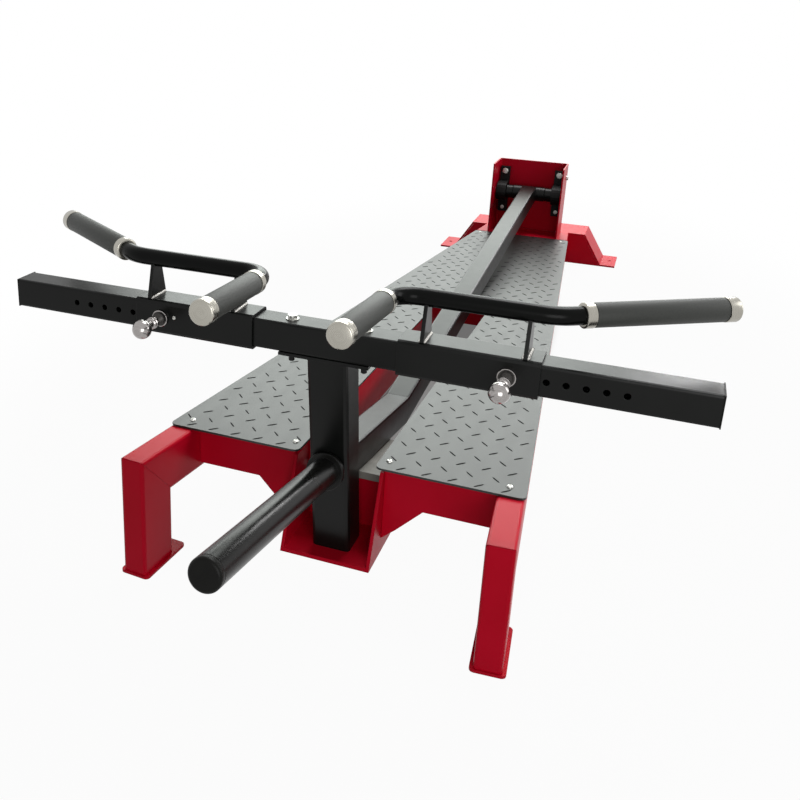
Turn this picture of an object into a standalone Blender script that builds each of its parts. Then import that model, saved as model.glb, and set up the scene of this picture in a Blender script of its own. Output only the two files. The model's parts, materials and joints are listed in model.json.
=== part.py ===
# Prone row machine: a sloping twin deck, a long lever hinged at the rear, and a cross bar
# with two sliding handle carriages at the front. Metres, +Z up, +Y towards the rear hinge.

import math

import bmesh
import bpy
import numpy as np
from mathutils import Matrix, Vector

# Clearances
GAP = 0.0003             # between two pieces that touch
SLIDE = 0.0005           # each side, a sleeve on its bar
RUNNING = 0.0003         # a turning or sliding pin in its bore

# Deck
DECK_LENGTH = 2.080
DECK_THICKNESS = 0.004
DECK_FRONT_HEIGHT = 0.2265
DECK_REAR_HEIGHT = 0.1275
DECK_FRONT_HALF_WIDTH = 0.328
DECK_REAR_HALF_WIDTH = 0.169
DECK_CORNER = 0.012
SLOT_HALF_WIDTH = 0.071  # the gap between the decks, where the lever lies
SLOT_MARGIN = 0.0142046  # its end lies this far behind where the lever rises clear of the deck
SLOT_BEAM_SETBACK = 0.004

# Base frame
RAIL_WIDTH = 0.046
RAIL_HEIGHT = 0.088
RAIL_WALL = 0.003
RAIL_EDGE = 0.002        # the deck stands out past the rail
RAIL_OVERRUN = 0.157     # how far the rails reach in front of the deck
RAIL_TAIL = 0.022        # and how far they reach behind the tower
FOOT_PAD_THICKNESS = 0.005
FOOT_PAD_BORDER = 0.006
FOOT_PAD_TOE = 0.003
FOOT_PAD_TAIL = 0.034
INNER_RAIL_WIDTH = 0.036
INNER_RAIL_HEIGHT = 0.060
BEAM_FRONT = 0.025       # the front crossbeam's front face
BEAM_DEPTH = 0.050
BEAM_HEIGHT = 0.074
BEAM_KINK = 0.155        # where its lower edge turns down to the cradle
BEAM_DROP_X = 0.108
BEAM_DROP = 0.048
TUBE_CORNER = 0.005

# Cradle under the post
CRADLE_HALF_WIDTH = 0.083
CRADLE_PLATE = 0.006
CRADLE_BOTTOM = 0.044
CRADLE_FRONT = -0.043
CRADLE_REAR = 0.098
CRADLE_LIP = 0.016
CRADLE_BACK_HEIGHT = 0.100
REST_THICKNESS = 0.005
REST_LENGTH = 0.210
REST_FRONT = 0.060
REST_LIP = 0.014

# Rear foot and tower
FOOT_DEPTH = 0.146
FOOT_PLATE = 0.006
FOOT_HEIGHT = 0.116
FOOT_TOP_HALF = 0.215
FOOT_BOTTOM_HALF = 0.283
FOOT_TAB = 0.053
FOOT_HOLE_RADIUS = 0.006
TOWER_SETBACK = 0.004    # behind the deck's rear edge
TOWER_DEPTH = 0.140
TOWER_HALF_WIDTH = 0.127
TOWER_TOP = 0.384
TOWER_PLATE = 0.005
TOWER_BEND = 0.010
TOWER_BASE_SETBACK = 0.001
TOWER_BASE_INSET = 0.004  # its sides stay this far inside the deck's taper
TOWER_FRONT = DECK_LENGTH + TOWER_SETBACK
TOWER_REAR = TOWER_FRONT + TOWER_DEPTH
RAIL_REAR = TOWER_REAR + RAIL_TAIL
FOOT_FRONT = RAIL_REAR + 2 * GAP

# Hinge
PIVOT_DROP = 0.049       # shaft centre to the bearings' base
PIVOT_HEIGHT = 0.270
SHAFT_RADIUS = 0.0150
SHAFT_HALF_LENGTH = 0.1205
HUB_RADIUS = 0.026
HUB_HALF_LENGTH = 0.058
BEARING_X = 0.100
BEARING_WIDTH = 0.034
BEARING_RING_RADIUS = 0.024
BEARING_RING_WIDTH = 0.030
BEARING_HEAD_RADIUS = 0.036
BEARING_BOLT_SPACING = 0.140
BEARING_BASE_LENGTH = 0.172
BEARING_BASE_HEIGHT = 0.016
BEARING_BOLT_RADIUS = 0.005

# Lever
LEVER_WIDTH = 0.052
LEVER_HEIGHT = 0.060
LEVER_WALL = 0.003
LEVER_BEND_Y = 0.398
LEVER_BEND_Z = 0.150
NECK_RISE = math.radians(9.8)
POST_WIDTH = 0.070
POST_DEPTH = 0.066
POST_WALL = 0.004
POST_LEAN = math.radians(9.2)
POST_Y = -0.0146         # its centre line at POST_Z
POST_Z = 0.2975
SEAT_PLATE = 0.005
SEAT_HALF_LENGTH = 0.076
SEAT_DEPTH = 0.070
SEAT_BOLT_X = 0.062
SEAT_BOLT_RADIUS = 0.005

# Cross bar and carriages
BAR_Y = -0.0643
BAR_Z = 0.4726
BAR_SIZE = 0.050
BAR_WALL = 0.004
BAR_HALF_LENGTH = 0.578
BAR_PLUG_FLANGE = 0.002
BAR_PLUG_DEPTH = 0.018
HOLE_PITCH = 0.028
HOLE_RADIUS = 0.0052
HOLES_OUTWARDS = 6
SLEEVE_WALL = 0.004
SLEEVE_INNER = 0.1205
SLEEVE_OUTER = 0.3350
PLUNGER_X = 0.288

# Handles
HANDLE_RADIUS = 0.0140
HANDLE_WALL = 0.0025
HANDLE_RISE = 0.0944     # its centre line over the bar's
HANDLE_HEIGHT = BAR_Z + HANDLE_RISE
HANDLE_INNER_X = 0.106
HANDLE_OUTER_X = 0.349
INNER_GRIP_X = 0.100
INNER_GRIP_REACH = 0.2467
INNER_GRIP_RISE = 0.0145
OUTER_GRIP_X = 0.5873
OUTER_GRIP_REACH = 0.1581
OUTER_GRIP_DROP = 0.0023
INNER_GRIP_END = (INNER_GRIP_X, BAR_Y - INNER_GRIP_REACH, HANDLE_HEIGHT + INNER_GRIP_RISE)
OUTER_GRIP_END = (OUTER_GRIP_X, BAR_Y + OUTER_GRIP_REACH, HANDLE_HEIGHT - OUTER_GRIP_DROP)
INNER_BEND = 0.042
OUTER_BEND = 0.070
GRIP_RADIUS = 0.0185
CAP_RADIUS = 0.0195
CAP_LENGTH = 0.020
COLLAR_LENGTH = 0.015
INNER_GRIP_LENGTH = 0.194
OUTER_GRIP_LENGTH = 0.250
CAP_FACE = 0.004
GUSSET_PLATE = 0.006
GUSSET_INNER_X = 0.157
GUSSET_OUTER_X = 0.311
GUSSET_FOOT = 0.052
GUSSET_HEAD = 0.024

# Pop pins
BARREL_RADIUS = 0.0095
BARREL_LENGTH = 0.022
BARREL_FLANGE_RADIUS = 0.0125
PIN_RADIUS = 0.0048
KNOB_RADIUS = 0.0160
KNOB_REACH = 0.060       # ball centre in front of the sleeve
KNOB_COLLAR_RADIUS = 0.0100

# Weight horn
HORN_RADIUS = 0.0245
HORN_WALL = 0.004
HORN_ROOT_Z = 0.2260
HORN_LENGTH = 0.472
HORN_RISE = math.radians(10.4)
HORN_COLLAR_RADIUS = 0.033
HORN_COLLAR_THICKNESS = 0.010
HORN_COLLAR_OFFSET = 0.012
HORN_CAP_LENGTH = 0.012

SEGMENTS = 24

UP = Vector((0.0, 0.0, 1.0))
X = Vector((1.0, 0.0, 0.0))
Y = Vector((0.0, 1.0, 0.0))


def clearScene():
    for obj in list(bpy.data.objects):
        bpy.data.objects.remove(obj, do_unlink=True)


def makeMaterial(name, colour, roughness, metallic=0.0):
    material = bpy.data.materials.new(name)
    material.use_nodes = True
    shader = material.node_tree.nodes["Principled BSDF"]
    shader.inputs["Base Color"].default_value = (*colour, 1.0)
    shader.inputs["Roughness"].default_value = roughness
    shader.inputs["Metallic"].default_value = metallic
    return material


def makeObject(name, mesh, material, smooth=False):
    if smooth:
        mesh.shade_smooth()
        mesh.set_sharp_from_angle(angle=math.radians(35))
    obj = bpy.data.objects.new(name, mesh)
    bpy.context.scene.collection.objects.link(obj)
    if material is not None:
        obj.data.materials.append(material)
    return obj


def meshFrom(name, points, faces):
    mesh = bpy.data.meshes.new(name)
    mesh.from_pydata([tuple(p) for p in points], [], faces)
    build = bmesh.new()
    build.from_mesh(mesh)
    bmesh.ops.remove_doubles(build, verts=build.verts, dist=1e-6)
    bmesh.ops.recalc_face_normals(build, faces=build.faces)
    build.to_mesh(mesh)
    build.free()
    return mesh


def roundedPolygon(corners, radius, steps=3, sharp=()):
    """The corners of a flat outline with each one turned into a short arc, except the sharp ones."""
    points = []
    count = len(corners)
    for i, corner in enumerate(corners):
        here = Vector(corner)
        if i in sharp:
            points.append(here)
            continue
        back = (Vector(corners[i - 1]) - here).normalized()
        ahead = (Vector(corners[(i + 1) % count]) - here).normalized()
        half = back.angle(ahead) / 2
        start = here + back * radius / math.tan(half)
        centre = here + (back + ahead).normalized() * radius / math.sin(half)
        sweep = (start - centre).angle(here + ahead * radius / math.tan(half) - centre)
        turn = 1 if back.x * ahead.y - back.y * ahead.x < 0 else -1
        for k in range(steps + 1):
            points.append(centre + Matrix.Rotation(turn * sweep * k / steps, 2) @ (start - centre))
    return [(p.x, p.y) for p in points]


def prism(name, outline, place, material, smooth=False):
    """An outline carried from one end to the other; place(a, b, end) gives each point."""
    count = len(outline)
    points = [place(a, b, end) for end in (0, 1) for a, b in outline]
    faces = [tuple(reversed(range(count))), tuple(range(count, 2 * count))]
    faces += [(i, (i + 1) % count, count + (i + 1) % count, count + i) for i in range(count)]
    return makeObject(name, meshFrom(name, points, faces), material, smooth)


def box(name, low, high, material):
    outline = [(low[0], low[1]), (high[0], low[1]), (high[0], high[1]), (low[0], high[1])]
    return prism(name, outline, lambda a, b, end: (a, b, high[2] if end else low[2]), material)


def rectangleTube(name, centre, along, side, width, height, wall, ends, material, corner=TUBE_CORNER,
                  spans=1):
    """A hollow rectangular tube. ends holds a (point, normal) plane for each end; spans divides its length."""
    along = along.normalized()
    side = side.normalized()
    up = along.cross(side).normalized()
    if up.z < 0 or abs(up.z) < 1e-6 < -up.y:
        up = -up
    loops = []
    for shrink, radius in ((0.0, corner), (wall, max(corner - wall, 0.0008))):
        a = width / 2 - shrink
        b = height / 2 - shrink
        outline = roundedPolygon([(-a, -b), (a, -b), (a, b), (-a, b)], radius, 2)
        pair = []
        for point, normal in ends:
            ring = []
            for u, v in outline:
                start = centre + side * u + up * v
                ring.append(start + along * ((point - start).dot(normal) / along.dot(normal)))
            pair.append(ring)
        for k in range(spans + 1):
            loops.append([first.lerp(last, k / spans) for first, last in zip(*pair)])
    count = len(loops[0])
    points = [p for ring in loops for p in ring]
    faces = []
    inner = spans + 1
    joins = [(0, inner), (spans, inner + spans)]
    for k in range(spans):
        joins += [(k, k + 1), (inner + k, inner + k + 1)]
    for first, second in joins:
        for i in range(count):
            j = (i + 1) % count
            faces.append((first * count + i, first * count + j, second * count + j, second * count + i))
    return makeObject(name, meshFrom(name, points, faces), material, True)


def turned(name, profile, origin, axis, material, segments=SEGMENTS):
    """A closed (radius, height) profile turned round an axis; radius 0 points meet on it."""
    axis = Vector(axis).normalized()
    frame = axis.to_track_quat("Z", "Y").to_matrix()
    points = []
    for radius, height in profile:
        for k in range(segments):
            angle = 2 * math.pi * k / segments
            local = Vector((radius * math.cos(angle), radius * math.sin(angle), height))
            points.append(Vector(origin) + frame @ local)
    faces = []
    count = len(profile)
    for i in range(count):
        j = (i + 1) % count
        if profile[i][0] == 0 and profile[j][0] == 0:
            continue
        for k in range(segments):
            m = (k + 1) % segments
            faces.append((i * segments + k, i * segments + m, j * segments + m, j * segments + k))
    build = bmesh.new()
    verts = [build.verts.new(p) for p in points]
    for face in faces:
        build.faces.new([verts[i] for i in face])
    bmesh.ops.remove_doubles(build, verts=build.verts, dist=1e-6)
    bmesh.ops.dissolve_degenerate(build, edges=build.edges, dist=1e-7)
    bmesh.ops.recalc_face_normals(build, faces=build.faces)
    mesh = bpy.data.meshes.new(name)
    build.to_mesh(mesh)
    build.free()
    return makeObject(name, mesh, material, True)


def ringProfile(outer, inner, low, high, chamfer=0.001):
    return [(inner, low), (outer - chamfer, low), (outer, low + chamfer),
            (outer, high - chamfer), (outer - chamfer, high), (inner, high)]


def discProfile(outer, low, high, chamfer=0.001):
    return [(0, low), (outer - chamfer, low), (outer, low + chamfer),
            (outer, high - chamfer), (outer - chamfer, high), (0, high)]


def cutBy(obj, cutter, operation="DIFFERENCE"):
    """Cuts or joins with EXACT Boolean; the cutter stays as a hidden helper under its piece."""
    cutter.hide_render = True
    cutter.parent = obj
    cutter.display_type = "WIRE"
    modifier = obj.modifiers.new(cutter.name, "BOOLEAN")
    modifier.operation = operation
    modifier.solver = "EXACT"
    modifier.object = cutter
    return obj


def drill(obj, name, origin, axis, radius, length, segments=12):
    profile = [(0, -length / 2), (radius, -length / 2), (radius, length / 2), (0, length / 2)]
    return cutBy(obj, turned(name, profile, origin, axis, None, segments))


def makeEmpty(name, at, parent):
    """An empty on a joint's axis, under the body that carries it."""
    empty = bpy.data.objects.new(name, None)
    bpy.context.scene.collection.objects.link(empty)
    empty["at"] = tuple(at)
    empty.location = at - Vector(parent["at"]) if parent else at
    empty.parent = parent
    return empty


def built(make, *inputs):
    """Runs one maker and returns the pieces that it made, without their helpers."""
    before = set(bpy.data.objects)
    make(*inputs)
    return [obj for obj in bpy.data.objects if obj not in before and obj.parent is None]


def carry(empty, pieces):
    for obj in pieces:
        obj.parent = empty
        obj.location = -Vector(empty["at"])


def middle():
    """The middle of the machine's length, which becomes the origin."""
    ends = []
    for obj in bpy.data.objects:
        if obj.type == "MESH" and not obj.hide_render:
            ends += [(obj.matrix_world @ Vector(corner)).y for corner in obj.bound_box]
    return (min(ends) + max(ends)) / 2


def deckZ(y):
    return DECK_FRONT_HEIGHT + (DECK_REAR_HEIGHT - DECK_FRONT_HEIGHT) * y / DECK_LENGTH


def deckHalfWidth(y):
    return DECK_FRONT_HALF_WIDTH + (DECK_REAR_HALF_WIDTH - DECK_FRONT_HALF_WIDTH) * y / DECK_LENGTH


DECK_SLOPE = math.atan((DECK_FRONT_HEIGHT - DECK_REAR_HEIGHT) / DECK_LENGTH)
DECK_NORMAL = Vector((0.0, math.sin(DECK_SLOPE), math.cos(DECK_SLOPE)))
SIDES = (("left", -1), ("right", 1))
SLEEVE_SIZE = BAR_SIZE + 2 * (SLIDE + SLEEVE_WALL)
PIVOT = Vector((0.0, TOWER_REAR - TOWER_PLATE - GAP - PIVOT_DROP, PIVOT_HEIGHT))


def slotLength():
    """Behind the slot the decks meet under the lever, just past where its underside clears them."""
    rise = (PIVOT.z - LEVER_BEND_Z) / (PIVOT.y - LEVER_BEND_Y)
    fall = (DECK_FRONT_HEIGHT - DECK_REAR_HEIGHT) / DECK_LENGTH
    underside = LEVER_BEND_Z - LEVER_BEND_Y * rise - LEVER_HEIGHT / 2 * math.hypot(1, rise)
    return (DECK_FRONT_HEIGHT - underside) / (rise + fall) + SLOT_MARGIN


SLOT_LENGTH = slotLength()


def makeDecks(steel):
    """Two tread plates that taper to the rear, with a slot between them that ends under the lever."""
    for name, side in SIDES:
        corners = [(side * SLOT_HALF_WIDTH, 0.0), (side * DECK_FRONT_HALF_WIDTH, 0.0),
                   (side * DECK_REAR_HALF_WIDTH, DECK_LENGTH), (side * GAP / 2, DECK_LENGTH),
                   (side * GAP / 2, SLOT_LENGTH), (side * SLOT_HALF_WIDTH, SLOT_LENGTH)]
        outline = roundedPolygon(corners, DECK_CORNER, 3, (3, 4))
        prism(f"{name}_deck_plate", outline,
              lambda a, b, end: (a, b, deckZ(b) - (0 if end else DECK_THICKNESS)), steel)


def railFrame(side):
    """Directions of one outer rail: forward along it, up from it, inwards, and its plan direction."""
    plan = Vector((side * (DECK_FRONT_HALF_WIDTH - DECK_REAR_HALF_WIDTH), -DECK_LENGTH, 0)).normalized()
    forward = plan * math.cos(DECK_SLOPE) + UP * math.sin(DECK_SLOPE)
    up = UP * math.cos(DECK_SLOPE) - plan * math.sin(DECK_SLOPE)
    inwards = Vector((-plan.y, plan.x, 0)) * -side
    return plan, forward, up, inwards


def makeRails(paint):
    """Outer rails that turn down into front legs at a mitred corner, each on a floor plate."""
    railTop = DECK_FRONT_HEIGHT - DECK_THICKNESS - GAP
    for name, side in SIDES:
        plan, forward, up, inwards = railFrame(side)
        edge = Vector((side * (DECK_FRONT_HALF_WIDTH - RAIL_EDGE), 0, railTop))
        nose = edge + forward * RAIL_OVERRUN
        back = (RAIL_HEIGHT + RAIL_HEIGHT * math.sin(DECK_SLOPE)) / math.cos(DECK_SLOPE)
        underside = nose - up * RAIL_HEIGHT - forward * back
        mitre = (underside - nose).cross(inwards).normalized()
        if mitre.dot(forward) < 0:
            mitre = -mitre
        centre = nose + inwards * RAIL_WIDTH / 2 - up * RAIL_HEIGHT / 2
        rearPlane = (Vector((0, RAIL_REAR, 0)), Y)
        rectangleTube(f"{name}_side_rail", centre, forward, inwards, RAIL_WIDTH, RAIL_HEIGHT, RAIL_WALL,
                      [(nose - mitre * GAP, mitre), rearPlane], paint)
        legCentre = nose + inwards * RAIL_WIDTH / 2 - plan * RAIL_HEIGHT / 2
        floorPlane = (Vector((0, 0, FOOT_PAD_THICKNESS + GAP)), UP)
        rectangleTube(f"{name}_front_leg", legCentre, UP, inwards, RAIL_WIDTH, RAIL_HEIGHT, RAIL_WALL,
                      [(nose, mitre), floorPlane], paint)
        half = RAIL_WIDTH / 2 + FOOT_PAD_BORDER
        front = FOOT_PAD_TOE
        rear = -RAIL_HEIGHT - FOOT_PAD_TAIL
        outline = roundedPolygon([(-half, rear), (half, rear), (half, front), (-half, front)], 0.008)
        start = nose + inwards * RAIL_WIDTH / 2
        prism(f"{name}_foot_pad", outline,
              lambda a, b, end: Vector((start.x, start.y, 0)) + inwards * a + plan * b
              + UP * (FOOT_PAD_THICKNESS if end else 0), paint)


def makeInnerRails(paint):
    """Rails under the slot's edges, and the beam between them that carries the slot's end."""
    along = Vector((0, -math.cos(DECK_SLOPE), math.sin(DECK_SLOPE)))
    railTop = DECK_FRONT_HEIGHT - DECK_THICKNESS - GAP
    for name, side in SIDES:
        top = Vector((side * (SLOT_HALF_WIDTH + INNER_RAIL_WIDTH / 2), 0, railTop))
        centre = top - DECK_NORMAL * INNER_RAIL_HEIGHT / 2
        front = BEAM_FRONT + BEAM_DEPTH + GAP
        rectangleTube(f"{name}_inner_rail", centre, along, X, INNER_RAIL_WIDTH, INNER_RAIL_HEIGHT, RAIL_WALL,
                      [(Vector((0, front, 0)), Y), (Vector((0, RAIL_REAR, 0)), Y)], paint)
    start = SLOT_LENGTH + SLOT_BEAM_SETBACK + RAIL_WIDTH / 2
    top = Vector((0, start, deckZ(start) - DECK_THICKNESS - GAP))
    reach = X * (SLOT_HALF_WIDTH - GAP)
    centre = top - DECK_NORMAL * RAIL_HEIGHT / 2
    rectangleTube("slot_beam", centre, X, along, RAIL_WIDTH, RAIL_HEIGHT, RAIL_WALL,
                  [(-reach, X), (reach, X)], paint)


def makeCrossbeams(paint):
    """Front crossbeams whose lower edge turns down to brace the cradle."""
    for name, side in SIDES:
        plan, _, _, inwards = railFrame(side)
        top = deckZ(BEAM_FRONT + BEAM_DEPTH) - DECK_THICKNESS - 2 * GAP
        bottom = top - BEAM_HEIGHT
        wallX = CRADLE_HALF_WIDTH + GAP

        def outerX(y):
            start = side * (DECK_FRONT_HALF_WIDTH - RAIL_EDGE) + inwards.x * (RAIL_WIDTH + GAP)
            return start + plan.x / plan.y * y - side * 0.0005

        def place(a, b, end):
            y = BEAM_FRONT + (BEAM_DEPTH if end else 0)
            return (outerX(y) if a is None else side * a, y, b)

        outline = [(None, bottom), (None, top), (wallX, top), (wallX, bottom - BEAM_DROP - 0.022),
                   (BEAM_DROP_X, bottom - BEAM_DROP), (BEAM_KINK, bottom)]
        prism(f"{name}_crossbeam", outline, place, paint)


def cradleFrontY(z):
    """The front edge of the cradle's walls leans back as it rises to the deck."""
    low = CRADLE_BOTTOM
    high = deckZ(0) - DECK_THICKNESS
    return CRADLE_FRONT + (BEAM_FRONT - CRADLE_FRONT - 0.004) * (z - low) / (high - low)


def makeCradle(paint, rubber):
    """A bent steel pocket that the post drops into, with a rest under the lever's neck."""
    half = CRADLE_HALF_WIDTH
    top = deckZ(BEAM_FRONT) - DECK_THICKNESS - 0.012
    bottom = CRADLE_BOTTOM
    wallRear = BEAM_FRONT + BEAM_DEPTH
    wall = [(cradleFrontY(bottom), bottom), (CRADLE_REAR, bottom),
            (CRADLE_REAR, bottom + CRADLE_BACK_HEIGHT), (wallRear, bottom + CRADLE_BACK_HEIGHT),
            (wallRear, top), (cradleFrontY(top), top)]
    cradle = prism("cradle", wall, lambda a, b, end: (half if end else -half, a, b), paint)
    inner = half - CRADLE_PLATE
    floor = bottom + CRADLE_PLATE
    hollow = [(cradleFrontY(floor) - 0.05, floor), (CRADLE_REAR - CRADLE_PLATE, floor),
              (CRADLE_REAR - CRADLE_PLATE, top + 0.05), (cradleFrontY(top) - 0.05, top + 0.05)]
    cutter = prism("cradle_hollow", hollow, lambda a, b, end: (inner if end else -inner, a, b), None)
    cutBy(cradle, cutter)
    back = deckZ(REST_FRONT) - DECK_THICKNESS
    slope = math.tan(NECK_RISE)
    y0 = REST_FRONT
    y1 = REST_FRONT + REST_LENGTH
    z0 = neckUnderside(y0) - GAP
    z1 = neckUnderside(y1) - GAP
    lean = REST_THICKNESS / math.cos(NECK_RISE)
    outline = [(y0, z0), (y1, z1), (y1, z1 - lean), (y0 + REST_THICKNESS, z0 - lean - slope * REST_THICKNESS),
               (y0 + REST_THICKNESS, z0 - REST_LIP), (y0, z0 - REST_LIP)]
    restHalf = SLOT_HALF_WIDTH - GAP
    prism("neck_rest", outline, lambda a, b, end: (restHalf if end else -restHalf, a, b), rubber)


def leverLine():
    """Points and directions of the lever: the bend, the beam's direction and the neck's."""
    bend = Vector((0, LEVER_BEND_Y, LEVER_BEND_Z))
    beam = (PIVOT - bend).normalized()
    neck = Vector((0, -math.cos(NECK_RISE), math.sin(NECK_RISE)))
    return bend, beam, neck


def neckUnderside(y):
    return LEVER_BEND_Z + (LEVER_BEND_Y - y) * math.tan(NECK_RISE) - LEVER_HEIGHT / 2 / math.cos(NECK_RISE)


def postFrame():
    centre = Vector((0, POST_Y, POST_Z))
    along = Vector((0, -math.sin(POST_LEAN), math.cos(POST_LEAN)))
    forward = Vector((0, -math.cos(POST_LEAN), -math.sin(POST_LEAN)))
    return centre, along, forward


def makeLever(paint):
    """The long beam, coped to the hub, and the neck that rises to the post."""
    bend, beam, neck = leverLine()
    mitre = (beam - neck).normalized()
    hubEnd = PIVOT - beam * (HUB_RADIUS - 0.012)
    lever = rectangleTube("lever_beam", bend, beam, X, LEVER_WIDTH, LEVER_HEIGHT, LEVER_WALL,
                          [(bend + mitre * GAP, mitre), (hubEnd, beam)], paint)
    cope = turned("hub_cope", discProfile(HUB_RADIUS + GAP, -LEVER_WIDTH, LEVER_WIDTH), PIVOT, X, None, 32)
    cutBy(lever, cope)
    centre, along, forward = postFrame()
    postBack = centre - forward * (POST_DEPTH / 2 + GAP)
    rectangleTube("lever_neck", bend, -neck, X, LEVER_WIDTH, LEVER_HEIGHT, LEVER_WALL,
                  [(bend, mitre), (postBack, forward)], paint)


def makePost(paint):
    centre, along, forward = postFrame()
    top = BAR_Z - BAR_SIZE / 2 - SEAT_PLATE - 2 * GAP
    floor = CRADLE_BOTTOM + CRADLE_PLATE + GAP
    rectangleTube("post", centre, along, X, POST_WIDTH, POST_DEPTH, POST_WALL,
                  [(Vector((0, 0, floor)), UP), (Vector((0, 0, top)), UP)], paint, 0.007)
    high = BAR_Z - BAR_SIZE / 2 - GAP
    back = BAR_Y - BAR_SIZE / 2 + SEAT_DEPTH
    plate = box("seat_plate", (-SEAT_HALF_LENGTH, BAR_Y - BAR_SIZE / 2, high - SEAT_PLATE),
                (SEAT_HALF_LENGTH, back, high), paint)
    for name, side in SIDES:
        drill(plate, f"{name}_seat_hole", (side * SEAT_BOLT_X, BAR_Y, high), UP, SEAT_BOLT_RADIUS + GAP, 0.05)


def makeSeatBolts(zinc):
    """Bolts through the bar and the seat plate."""
    top = BAR_Z + BAR_SIZE / 2 + GAP
    low = BAR_Z - BAR_SIZE / 2 - SEAT_PLATE - 2 * GAP
    for name, side in SIDES:
        at = Vector((side * SEAT_BOLT_X, BAR_Y, 0))
        r = SEAT_BOLT_RADIUS
        washer = 0.0016
        head = 0.0070
        profile = [(0, low - 0.016), (r, low - 0.016), (r, top), (0.0105, top), (0.0105, top + washer),
                   (0.0090, top + washer), (0.0090, top + washer + head), (0, top + washer + head)]
        turned(f"{name}_seat_bolt", profile, at, UP, zinc, 12)


def makeBar(paint, plastic):
    """The cross bar, drilled for the bolts and with a row of pin holes each side."""
    centre = Vector((0, BAR_Y, BAR_Z))
    ends = [(Vector((-BAR_HALF_LENGTH, 0, 0)), X), (Vector((BAR_HALF_LENGTH, 0, 0)), X)]
    bar = rectangleTube("cross_bar", centre, X, Y, BAR_SIZE, BAR_SIZE, BAR_WALL, ends, paint, 0.004, 6)
    for name, side in SIDES:
        drill(bar, f"{name}_bolt_bore", (side * SEAT_BOLT_X, BAR_Y, BAR_Z), UP, SEAT_BOLT_RADIUS + GAP, 0.1)
        for k in range(HOLES_OUTWARDS + 1):
            at = (side * (PLUNGER_X + k * HOLE_PITCH), BAR_Y - BAR_SIZE / 2, BAR_Z)
            drill(bar, f"{name}_pin_hole_{k}", at, Y, HOLE_RADIUS, 0.02)
        inner = BAR_SIZE / 2 - BAR_WALL - GAP
        outer = BAR_SIZE / 2
        x0 = BAR_HALF_LENGTH + GAP
        plug = box(f"{name}_bar_plug", (-outer, -outer, 0), (outer, outer, BAR_PLUG_FLANGE), plastic)
        body = box(f"{name}_plug_body", (-inner, -inner, -BAR_PLUG_DEPTH), (inner, inner, BAR_PLUG_FLANGE / 2),
                   None)
        turn = Matrix.Translation((side * x0, BAR_Y, BAR_Z)) @ Matrix.Rotation(side * math.pi / 2, 4, "Y")
        plug.data.transform(turn)
        body.data.transform(turn)
        cutBy(plug, body, "UNION")


def makeHorn(paint, plastic):
    """The weight horn: a hollow sleeve on the post's face, with a stop collar and an end cap."""
    centre, along, forward = postFrame()
    faceY = POST_Y - (HORN_ROOT_Z - POST_Z) * math.tan(POST_LEAN) - POST_DEPTH / 2 / math.cos(POST_LEAN)
    root = Vector((0, faceY, HORN_ROOT_Z))
    out = Vector((0, -math.cos(HORN_RISE), math.sin(HORN_RISE)))
    length = HORN_LENGTH - HORN_CAP_LENGTH - GAP
    bore = HORN_RADIUS - HORN_WALL
    low = HORN_COLLAR_OFFSET
    high = low + HORN_COLLAR_THICKNESS
    profile = [(bore, -0.03), (HORN_RADIUS, -0.03), (HORN_RADIUS, low), (HORN_COLLAR_RADIUS, low),
               (HORN_COLLAR_RADIUS, high), (HORN_RADIUS, high), (HORN_RADIUS, length), (bore, length)]
    tube = turned("weight_horn", profile, root, out, paint, 32)
    cap = [(0, length - 0.014), (bore - GAP, length - 0.014), (bore - GAP, length + GAP),
           (HORN_RADIUS, length + GAP), (HORN_RADIUS, HORN_LENGTH - 0.004),
           (HORN_RADIUS - 0.004, HORN_LENGTH), (0, HORN_LENGTH)]
    turned("horn_end_cap", cap, root, out, plastic, 32)
    block = box("horn_cut", (-0.06, -0.001, -0.12), (0.06, 0.12, 0.12), None)
    block.data.transform(Matrix.Translation(root + forward * GAP) @ Matrix.Rotation(POST_LEAN, 4, "X")
                         @ Matrix.Translation((0, 0.001, 0)))
    cutBy(tube, block)


def makeSleeve(name, side, paint):
    centre = Vector((0, BAR_Y, BAR_Z))
    ends = [(Vector((side * SLEEVE_INNER, 0, 0)), X), (Vector((side * SLEEVE_OUTER, 0, 0)), X)]
    size = SLEEVE_SIZE
    sleeve = rectangleTube(f"{name}_carriage_sleeve", centre, X, Y, size, size, SLEEVE_WALL, ends, paint,
                           0.006)
    at = (side * PLUNGER_X, BAR_Y - size / 2, BAR_Z)
    drill(sleeve, f"{name}_sleeve_bore", at, Y, BARREL_RADIUS + GAP, 0.03, 16)


def fillet(points, radii, steps):
    """A path through the points with each inner corner turned on a true arc."""
    path = [Vector(points[0])]
    for i in range(1, len(points) - 1):
        here = Vector(points[i])
        back = (Vector(points[i - 1]) - here).normalized()
        ahead = (Vector(points[i + 1]) - here).normalized()
        half = back.angle(ahead) / 2
        reach = radii[i - 1] / math.tan(half)
        centre = here + (back + ahead).normalized() * radii[i - 1] / math.sin(half)
        start = here + back * reach - centre
        normal = start.cross(here + ahead * reach - centre).normalized()
        sweep = math.pi - 2 * half
        for k in range(steps + 1):
            path.append(centre + Matrix.Rotation(sweep * k / steps, 3, normal) @ start)
    path.append(Vector(points[-1]))
    return path


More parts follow.
